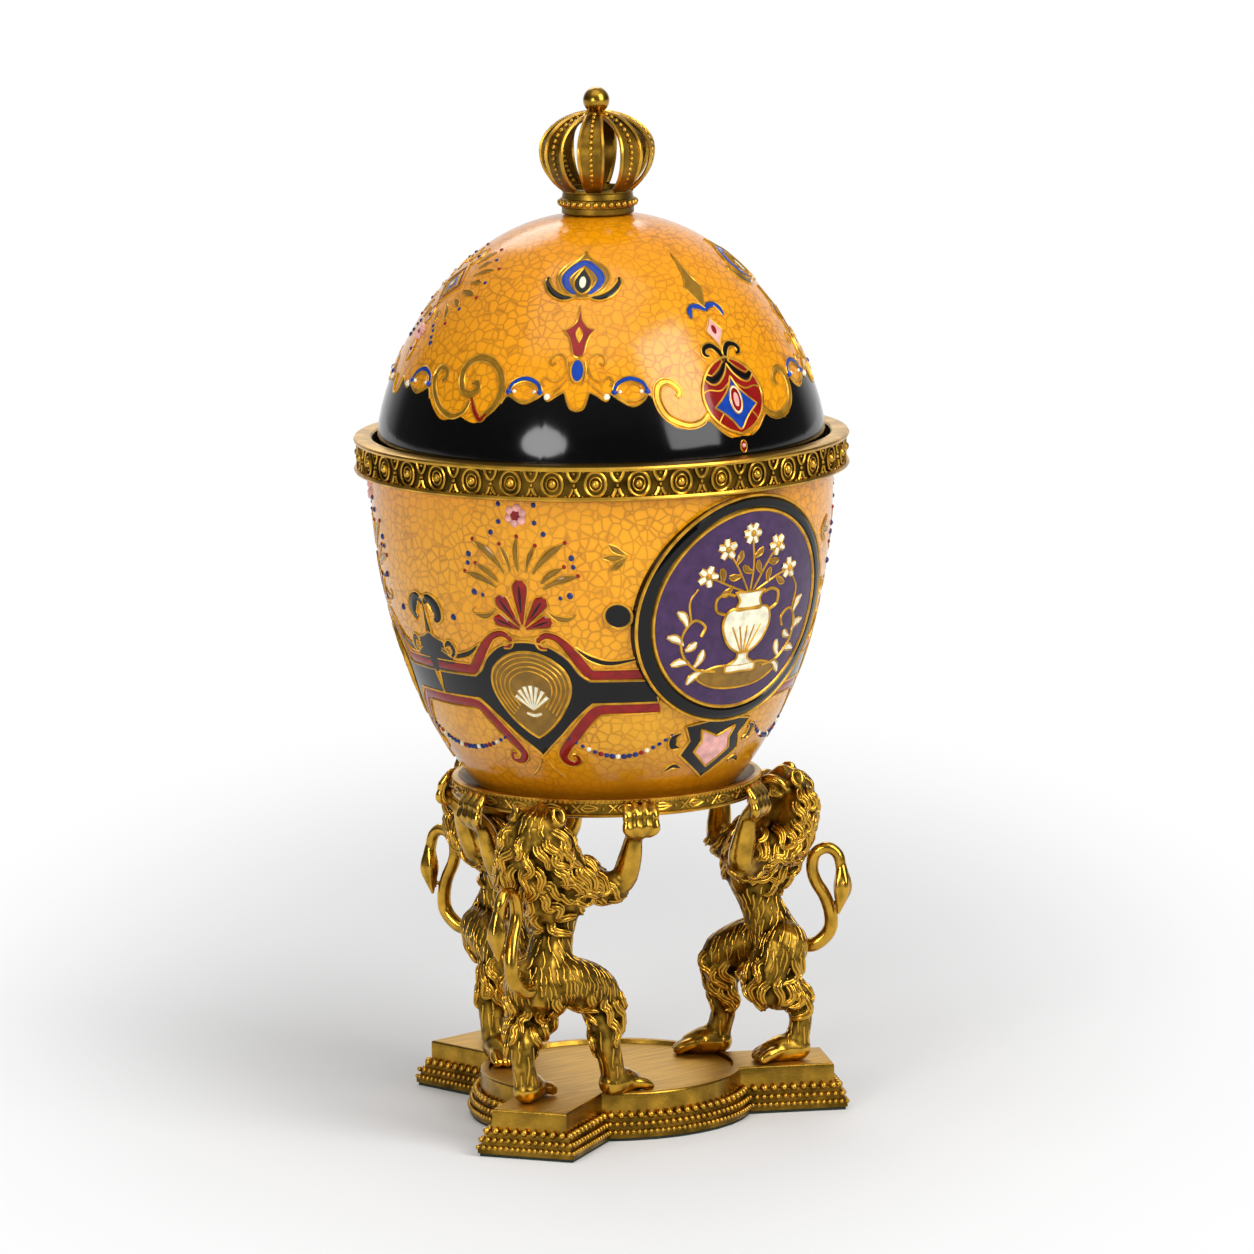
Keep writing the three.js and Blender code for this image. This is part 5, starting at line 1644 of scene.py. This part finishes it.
def neighbours(mesh):
    """Vertex places of a mesh and a function that averages values over each vertex's neighbours."""
    count = len(mesh.vertices)
    places = np.empty(count * 3)
    mesh.vertices.foreach_get("co", places)
    ends = np.empty(len(mesh.edges) * 2, np.int32)
    mesh.edges.foreach_get("vertices", ends)
    one, other = ends.reshape(-1, 2).T
    degree = np.maximum(np.bincount(one, minlength=count) + np.bincount(other, minlength=count), 1)

    def average(values):
        columns = [
            np.bincount(one, column[other], count) + np.bincount(other, column[one], count)
            for column in values.T
        ]
        return np.array(columns).T / degree[:, None]

    return places.reshape(-1, 3), average


def chase(mesh, soften, base, scales):
    """Softens a cast skin, and stores how far each place stands out, from 0 in a hollow to 1 on a ridge.

    Each scale is a number of smoothing passes, the height in millimetres that counts as full, and a weight.
    """
    places, average = neighbours(mesh)
    for _ in range(soften):
        places = 0.5 * places + 0.5 * average(places)
    mesh.vertices.foreach_set("co", places.ravel())
    mesh.update()
    normals = np.empty(len(mesh.vertices) * 3)
    mesh.vertex_normals.foreach_get("vector", normals)
    normals = normals.reshape(-1, 3)
    smooth = places
    done = 0
    level = np.full(len(places), base)
    for passes, span, weight in scales:
        for _ in range(passes - done):
            smooth = average(smooth)
        done = passes
        out = ((places - smooth) * normals).sum(axis=1)
        level += 0.5 * weight * np.clip(out / span, -1, 1)
    relief = mesh.attributes.new("relief", "FLOAT", "POINT")
    relief.data.foreach_set("value", np.clip(level, 0, 1).astype(np.float32))


def hair_zone(place):
    """Hair at a place on the lion, or nothing where it is bare.

    That is the radius of a lock's body, its length, the gaps across and along the flow, the flow, the wave
    and the curl of its tip. Where the radius is nothing, the hair is a single chased line.
    """
    out = place.x - RING_RADIUS
    side = abs(place.y)
    turn = min(max(place.y / 4, -1), 1)
    share = (place.z - PLINTH_TOP) / LION_HEIGHT
    ear = Vector((out - EAR[0], side - EAR[1], (share - EAR[2]) * LION_HEIGHT))
    brow = 5 if share < 0.96 else 8
    if share > 0.85 and out < brow and side < 9 or ear.length < 1.6 * EAR_RADIUS:
        return None
    if share > 0.775 and side >= 14.5 and out < -4 or side > 20.5:
        return None
    if 9 < side and out < 3 and 0.69 < share < 0.86:
        return 1.3, 9, 2.8, 5.0, Vector((-0.35, 0.45 * turn, -0.6)), 0.55, 0.6
    if share > 1.01:
        return 0, 5, 1.5, 3.6, Vector((0.9, 0.5 * turn, -0.3)), 0.3, 0.4
    if share > 0.8 and out > 2:
        return 1.6, 10, 3.1, 5.4, Vector((0.05, 0.4 * turn, -1)), 0.7, 1.3
    if share > 0.64 and out > 0:
        return 1.6, 10, 3.0, 5.4, Vector((-0.3, 0.4 * turn + 0.11 * place.y, -0.8)), 0.7, 1.0
    if share > 0.66:
        return 1.4, 9, 3.1, 5.5, Vector((-0.1, -0.1 * turn, -1)), 0.7, 1.3
    if 0.39 < share < 0.5 and out < 14:
        return 0, 6, 1.25, 5.0, Vector((-0.1, 0.1 * turn, -1)), 0.2, 0.3
    if 0.24 < share <= 0.39 and out < 13:
        forward = -0.25 if place.y < 0 else 0.05
        return 1.6, 10.5, 3.3, 6.0, Vector((forward, 0.05 * turn, -1)), 0.7, 1.2
    if 0.5 <= share <= 0.64:
        return 0, 5.5, 1.6, 4.6, Vector((-0.1, 0.15 * turn, -1)), 0.25, 0.3
    if 0.06 < share <= 0.24:
        return 0, 8, 2.3, 7.0, Vector((0, 0, -1)), 0.15, 0.1
    return None


def locks(skin, spacing, seed):
    """Bodies and raised lines of the wavy locks that lie along a skin, as strokes."""
    rng = random.Random(seed)
    surface = bmesh.new()
    surface.from_mesh(skin)
    tree = BVHTree.FromBMesh(surface)
    roots = [(vert.co.copy(), vert.normal.copy()) for vert in surface.verts]
    surface.free()
    rng.shuffle(roots)
    taken = np.empty((len(roots), 6))
    count = 0
    bodies = []
    lines = []
    steps = 9
    for root, normal in roots:
        zone = hair_zone(root)
        if zone is None:
            continue
        body, length, across_gap, along_gap, flow, wave, curl = zone
        along = flow - normal * flow.dot(normal)
        if along.length < 0.2:
            continue
        along.normalize()
        apart = taken[:count, :3] - np.array(root)
        run = (apart * taken[:count, 3:]).sum(axis=1)
        beside_gap = np.maximum((apart * apart).sum(axis=1) - run * run, 0)
        if ((run / along_gap) ** 2 + beside_gap / across_gap**2 < spacing**2).any():
            continue
        taken[count] = (*root, *along)
        count += 1
        place = root
        length *= rng.uniform(0.8, 1.2)
        phase = 1.3 * math.sin(0.21 * root.x + 0.33 * root.y) + 1.5 * math.sin(0.25 * root.z)
        phase += rng.uniform(-0.6, 0.6)
        way = 1 if rng.random() < 0.5 + 0.4 * math.copysign(1, root.y) else -1
        angles = [math.radians(a) for a in ((-56, 0, 56) if body > 1.4 else (-42, 42) if body else (0,))]
        stem = []
        ridges = [[] for _ in angles]
        for k in range(steps + 1):
            t = k / steps
            along = flow - normal * flow.dot(normal)
            if along.length < 1e-3:
                break
            along.normalize()
            across = normal.cross(along)
            swing = wave * math.sin(phase + math.tau * t) + way * curl * t**3
            ahead = along * math.cos(swing) + across * math.sin(swing)
            beside = normal.cross(ahead)
            radius = body * ((1 - t) ** 0.45 * (0.75 + 0.25 * min(1, 4 * t)) + 0.1)
            centre = place + normal * body * (0.75 * min(1, 2.2 * t) - 0.4)
            thin = 0.16 + (0.38 if body else 0.26) * math.sin(math.pi * min(1, 0.12 + 0.88 * t)) ** 0.7
            rise = radius - 0.45 * thin
            stem.append((centre, max(radius, 0.3)))
            for ridge, angle in zip(ridges, angles):
                ridge.append((centre + (normal * math.cos(angle) + beside * math.sin(angle)) * rise, thin))
            place, normal, _, _ = tree.find_nearest(place + ahead * (length / steps))
            if hair_zone(place) is None:
                break
        if len(stem) > 4:
            if body:
                bodies.append((domed(stem), False))
            lines += [(ridge, False) for ridge in ridges]
    return bodies, lines


def lion_figure():
    """Strokes and beads of one bare lion in its own frame."""
    bm = bmesh.new()
    strokes = [limb(joints) for joints in LIMBS]
    for side in (-1, 1):
        strokes += [limb(joints, side) for joints in HEAD]
        outwards = polar(math.radians(PAW_SPREAD * side), 1)
        sideways = Vector((-outwards.y, outwards.x, 0))
        palm = outwards * (RING_RADIUS + 2.2) + Vector((0, 0, RING_BOTTOM - 3.0))
        strokes.append(rounded([*placed(ARM_JOINTS, side), (*palm, 3.1)], 4))
        for finger in FINGERS:
            low_by = 0.18 * abs(finger)
            places = [
                (*(outwards * (RING_RADIUS + out) + sideways * finger * (0.62 if up < -3 else 1)
                   + Vector((0, 0, RING_BOTTOM + up - low_by))), radius)
                for out, up, radius in FINGER_BEND
            ]
            strokes.append(rounded(places, 3))
        out, across, share = EAR
        opening = Vector((EAR_WAY[0], side * EAR_WAY[1], EAR_WAY[2])).normalized()
        level = opening.cross((0, 0, 1)).normalized()
        upright = level.cross(opening)
        centre = lion_point(out, side * across, share)
        rim = [centre + level * x + upright * y for x, y in oval(0, 0, 0.85 * EAR_RADIUS, 1.1 * EAR_RADIUS)]
        strokes.append(([(place, 0.8) for place in rim], True))
    for heel, toe, drop in FEET:
        heel, toe = Vector(heel), Vector(toe)
        ahead = (toe - heel).normalized()
        across = Vector((-ahead.y, ahead.x))
        for spread in TOES:
            reach = 3.8 - 0.3 * abs(spread)
            toes = [
                (toe - ahead * 3.5 + across * spread * 0.62, 0.046, 1.9),
                (toe + across * spread * 0.95, 0.036, 1.95),
                (toe + ahead * reach + across * spread * 1.05, 0.021, 1.75),
            ]
            strokes.append(limb([(p.x, p.y, share - drop, radius) for p, share, radius in toes], steps=3))
    tubes(bm, strokes, facets=4)
    for place, radius in FACE:
        bead(bm, lion_point(*place), radius, around=16, along=10)
    return bm


def cut_to_stand(mesh):
    """Keeps a lion's soles on the plinth and its paws and muzzle outside the ring."""
    for vert in mesh.vertices:
        reach = vert.co.xy.length
        ground = PLINTH_TOP if reach > DISH_RADIUS else DISH_FLOOR
        vert.co.z = max(vert.co.z, ground + 0.02)
        into = RING_RADIUS + 0.05 - reach
        over = vert.co.z - RING_BOTTOM + 0.05
        if into > 0 and over > 0:
            if into < over:
                vert.co.xy *= (RING_RADIUS + 0.05) / reach
            else:
                vert.co.z -= over


def with_ridges(skin, lines, level):
    """Mesh of a chased skin with raised lines laid on it, which count as worn bright."""
    marks = [place for line, _ in lines for place, _ in line]
    near = KDTree(len(marks))
    for index, place in enumerate(marks):
        near.insert(place, index)
    near.balance()
    bm = bmesh.new()
    bm.from_mesh(skin)
    relief = bm.verts.layers.float["relief"]
    # Patina stays beside a raised line, where no hand rubs it off, and the darkening there is also painted
    # shade in the crease beside the line
    for vert in bm.verts:
        vert[relief] *= 0.4 + 0.6 * min(near.find(vert.co)[2] / 1.8, 1)
    first = len(bm.verts)
    tubes(bm, lines, facets=1)
    bm.verts.ensure_lookup_table()
    for index in range(first, len(bm.verts)):
        bm.verts[index][relief] = level
    bmesh.ops.recalc_face_normals(bm, faces=bm.faces)
    return mesh_from("figure", bm)


# Fineness of the bare lion that the locks are planted on, and of the tail's casting
BARE_GRAIN = 1.0
TAIL_GRAIN = 0.42
LOCK_SEED = 7
TUFT_LOCKS = 5


class EGGBOX_OT_lions(bpy.types.Operator):
    """Three cast lions with shaggy manes and thighs, and their tails"""

    bl_idname = "eggbox.lions"
    bl_label = "Lions"

    def execute(self, context):
        sizes = context.scene.egg_box_sizes
        bare = cast(lion_figure(), BARE_GRAIN)
        bodies, lines = locks(bare, sizes.lock_spacing, LOCK_SEED)
        bm = lion_figure()
        tubes(bm, bodies, facets=2)
        skin = cast(bm, sizes.lion_grain / MM)
        # The wide scale, 40 passes over 1.5 mm, darkens broad hollows as patina and as painted shade
        chase(skin, 1, 0.5, ((6, 0.35, 0.6), (40, 1.5, 0.5)))
        figure = with_ridges(skin, lines, 0.95)
        cut_to_stand(figure)
        bm = bmesh.new()
        strokes = [limb(TAIL), limb(TUFT)]
        for k in range(TUFT_LOCKS):
            turn = k / TUFT_LOCKS * math.tau
            swells = zip(TUFT, (0.7, 1.35, 0.9, 0.1))
            strokes.append(limb([
                (out + 1.5 * math.cos(turn) * swell, side + 1.5 * math.sin(turn) * swell, share,
                 0.42 * radius)
                for (out, side, share, radius), swell in swells
            ]))
        tubes(bm, strokes, facets=4)
        tail = cast(bm, TAIL_GRAIN)
        # The wide scale, 40 passes over 1.3 mm, darkens broad hollows as patina and as painted shade
        chase(tail, 2, 0.55, ((6, 0.3, 0.6), (40, 1.3, 0.5)))
        for name, azimuth in LION_AZIMUTHS.items():
            turn = Matrix.Diagonal((MM, MM, MM, 1)) @ Matrix.Rotation(math.radians(azimuth), 4, "Z")
            for mesh, title, node in ((figure, "lion_cast", "lion"), (tail, "tail_cast", "lion_tail")):
                own = mesh.copy()
                if mesh is tail and TAIL_SIDES[name] < 0:
                    own.transform(Matrix.Diagonal((1, -1, 1, 1)))
                    own.flip_normals()
                own.transform(turn)
                own.shade_smooth()
                nodes = [f"{node}_{name}"]
                settle(f"{title}_{name}", own, context, ("antique",), "stand", nodes, sharp=180)
        for mesh in (bare, skin, figure, tail):
            bpy.data.meshes.remove(mesh)
        return {"FINISHED"}


class EGGBOX_OT_fittings(bpy.types.Operator):
    """Finishes for the solids that show as they are: screws, bolts, washers, pads and felt"""

    bl_idname = "eggbox.fittings"
    bl_label = "Fittings"

    def execute(self, context):
        for part in frame["record"]["subparts"]:
            slot = part["material_slot"]
            if slot in ("steel", "rubber", "cork", "felt"):
                materials = frame["nodes"][part["node"]].data.materials
                materials.clear()
                materials.append(finish(context, slot))
        return {"FINISHED"}


def lay_floor(scene):
    """Pale paper under the box, which fades to white away from it."""
    bm = bmesh.new()
    bmesh.ops.create_grid(bm, x_segments=1, y_segments=1, size=6)
    mesh = mesh_from("floor", bm)
    made, tree, shader, place = finish_of("pale paper floor", Roughness=0.85)
    shader.inputs["Base Color"].default_value = (*scene.egg_box_colours.ground, 1)
    # The paper is greyest 0.15 m behind the box, and fades to white in an oval, 0.26 m aside and 0.6 m deep
    oval_of_grey = {"Location": CAMERA_BACK * -0.15, "Rotation": (0, 0, CAMERA_TURN),
                    "Scale": (0.26, 0.6, 1)}
    laid = add(tree, "ShaderNodeMapping", oval_of_grey, {"Vector": place}, vector_type="TEXTURE")
    apart = add(tree, "ShaderNodeVectorMath", {}, {0: laid.outputs[0]}, operation="LENGTH")
    fade = mapped(tree, apart.outputs["Value"], (0.25, 1), way="SMOOTHSTEP")
    rays = add(tree, "ShaderNodeLightPath").outputs
    seen = reckoned(tree, "MAXIMUM", rays["Is Camera Ray"], rays["Is Glossy Ray"])
    seen = reckoned(tree, "MAXIMUM", seen, rays["Is Transmission Ray"])
    share = reckoned(tree, "MULTIPLY", fade, seen)
    white = add(tree, "ShaderNodeEmission", {"Color": (1, 1, 1, 1), "Strength": 1})
    paper = add(tree, "ShaderNodeMixShader", {}, {0: share, 1: shader.outputs[0], 2: white.outputs[0]})
    tree.links.new(paper.outputs[0], tree.nodes["Material Output"].inputs["Surface"])
    mesh.materials.append(made)
    floor = bpy.data.objects.new("floor", mesh)
    scene.collection.objects.link(floor)


def light_room(scene):
    """World that is white behind the box, and elsewhere a dim room."""
    world = bpy.data.worlds.new("studio")
    world.use_nodes = True
    scene.world = world
    tree = world.node_tree
    rays = add(tree, "ShaderNodeLightPath").outputs
    view = (Vector((0, 0, 0.1)) - CAMERA_BACK).normalized()
    way = add(tree, "ShaderNodeTexCoord").outputs["Generated"]
    ahead = add(tree, "ShaderNodeVectorMath", {1: view}, {0: way}, operation="DOT_PRODUCT").outputs["Value"]
    behind = mapped(tree, ahead, (0.6, 0.97), way="SMOOTHSTEP")
    bounced = reckoned(tree, "MAXIMUM", rays["Is Glossy Ray"], rays["Is Transmission Ray"])
    mirrored = reckoned(tree, "MULTIPLY", bounced, behind)
    seen = reckoned(tree, "MAXIMUM", rays["Is Camera Ray"], mirrored)
    # The room is dim at the sides and lighter overhead
    lift = add(tree, "ShaderNodeSeparateXYZ", {}, {0: way}).outputs["Z"]
    room = mapped(tree, lift, (0.2, 1), (0.1, 0.48), "SMOOTHSTEP")
    tree.links.new(mixed(tree, seen, room, grey(1)), tree.nodes["Background"].inputs["Color"])


def hang_lamps(scene):
    """Softboxes, aimed at the middle of the egg box."""
    centre = Vector((0, 0, 150)) * MM
    for name, azimuth, rise, distance, width, height, power in LAMPS:
        lamp = bpy.data.lights.new(name, "AREA")
        lamp.shape = "ELLIPSE" if name == "side" else "RECTANGLE"
        lamp.size = width
        lamp.size_y = height
        lamp.energy = power
        turn, lift = math.radians(azimuth), math.radians(rise)
        aim = Vector((math.cos(lift) * math.sin(turn), -math.cos(lift) * math.cos(turn), math.sin(lift)))
        holder = bpy.data.objects.new(name, lamp)
        holder.location = centre + aim * distance
        holder.rotation_euler = aim.to_track_quat("Z", "Y").to_euler()
        scene.collection.objects.link(holder)


def set_camera(scene):
    """Camera where the photograph was taken from."""
    eye = CAMERA_BACK * CAMERA_DISTANCE + Vector((0, 0, CAMERA_HEIGHT))
    aim = CAMERA_RIGHT * CAMERA_AIM_SIDE + Vector((0, 0, CAMERA_AIM_HEIGHT))
    look = (aim - eye).to_track_quat("-Z", "Y").to_matrix().to_4x4()
    roll = Matrix.Rotation(math.radians(-CAMERA_ROLL), 4, "Z")
    lens = bpy.data.cameras.new("photo")
    lens.lens = CAMERA_LENS
    lens.sensor_width = 36
    lens.clip_end = 50
    camera = bpy.data.objects.new("photo", lens)
    camera.matrix_world = Matrix.Translation(eye * MM) @ look @ roll
    scene.collection.objects.link(camera)
    scene.camera = camera


class EGGBOX_OT_stage(bpy.types.Operator):
    """Pale floor, soft studio lamps and the photograph's camera"""

    bl_idname = "eggbox.stage"
    bl_label = "Stage"

    def execute(self, context):
        scene = context.scene
        scene.view_settings.view_transform = "Standard"
        lay_floor(scene)
        light_room(scene)
        hang_lamps(scene)
        set_camera(scene)
        return {"FINISHED"}


STEPS = (
    EGGBOX_OT_stage, EGGBOX_OT_plinth, EGGBOX_OT_lions, EGGBOX_OT_stand_ring, EGGBOX_OT_bowl,
    EGGBOX_OT_rim_band, EGGBOX_OT_lid, EGGBOX_OT_bowl_enamel, EGGBOX_OT_medallions, EGGBOX_OT_lid_enamel,
    EGGBOX_OT_crown, EGGBOX_OT_fittings,
)


class EGGBOX_PT_sidebar(bpy.types.Panel):
    """Lists the steps and the sizes and colours that they read"""

    bl_idname = "EGGBOX_PT_sidebar"
    bl_label = "Egg Box"
    bl_space_type = "VIEW_3D"
    bl_region_type = "UI"
    bl_category = "Egg Box"

    def draw(self, context):
        for step in STEPS:
            self.layout.operator(step.bl_idname)
        for group in (context.scene.egg_box_sizes, context.scene.egg_box_colours):
            for name in group.__annotations__:
                self.layout.prop(group, name)


CLASSES = (EggBoxSizes, EggBoxColours, *STEPS, EGGBOX_PT_sidebar)


def register():
    for kind in CLASSES:
        bpy.utils.register_class(kind)
    bpy.types.Scene.egg_box_sizes = PointerProperty(type=EggBoxSizes)
    bpy.types.Scene.egg_box_colours = PointerProperty(type=EggBoxColours)


def unregister():
    del bpy.types.Scene.egg_box_colours
    del bpy.types.Scene.egg_box_sizes
    for kind in reversed(CLASSES):
        bpy.utils.unregister_class(kind)


def main():
    register()
    for step in STEPS:
        group, name = step.bl_idname.split(".")
        getattr(getattr(bpy.ops, group), name)()


if __name__ == "__main__":
    main()
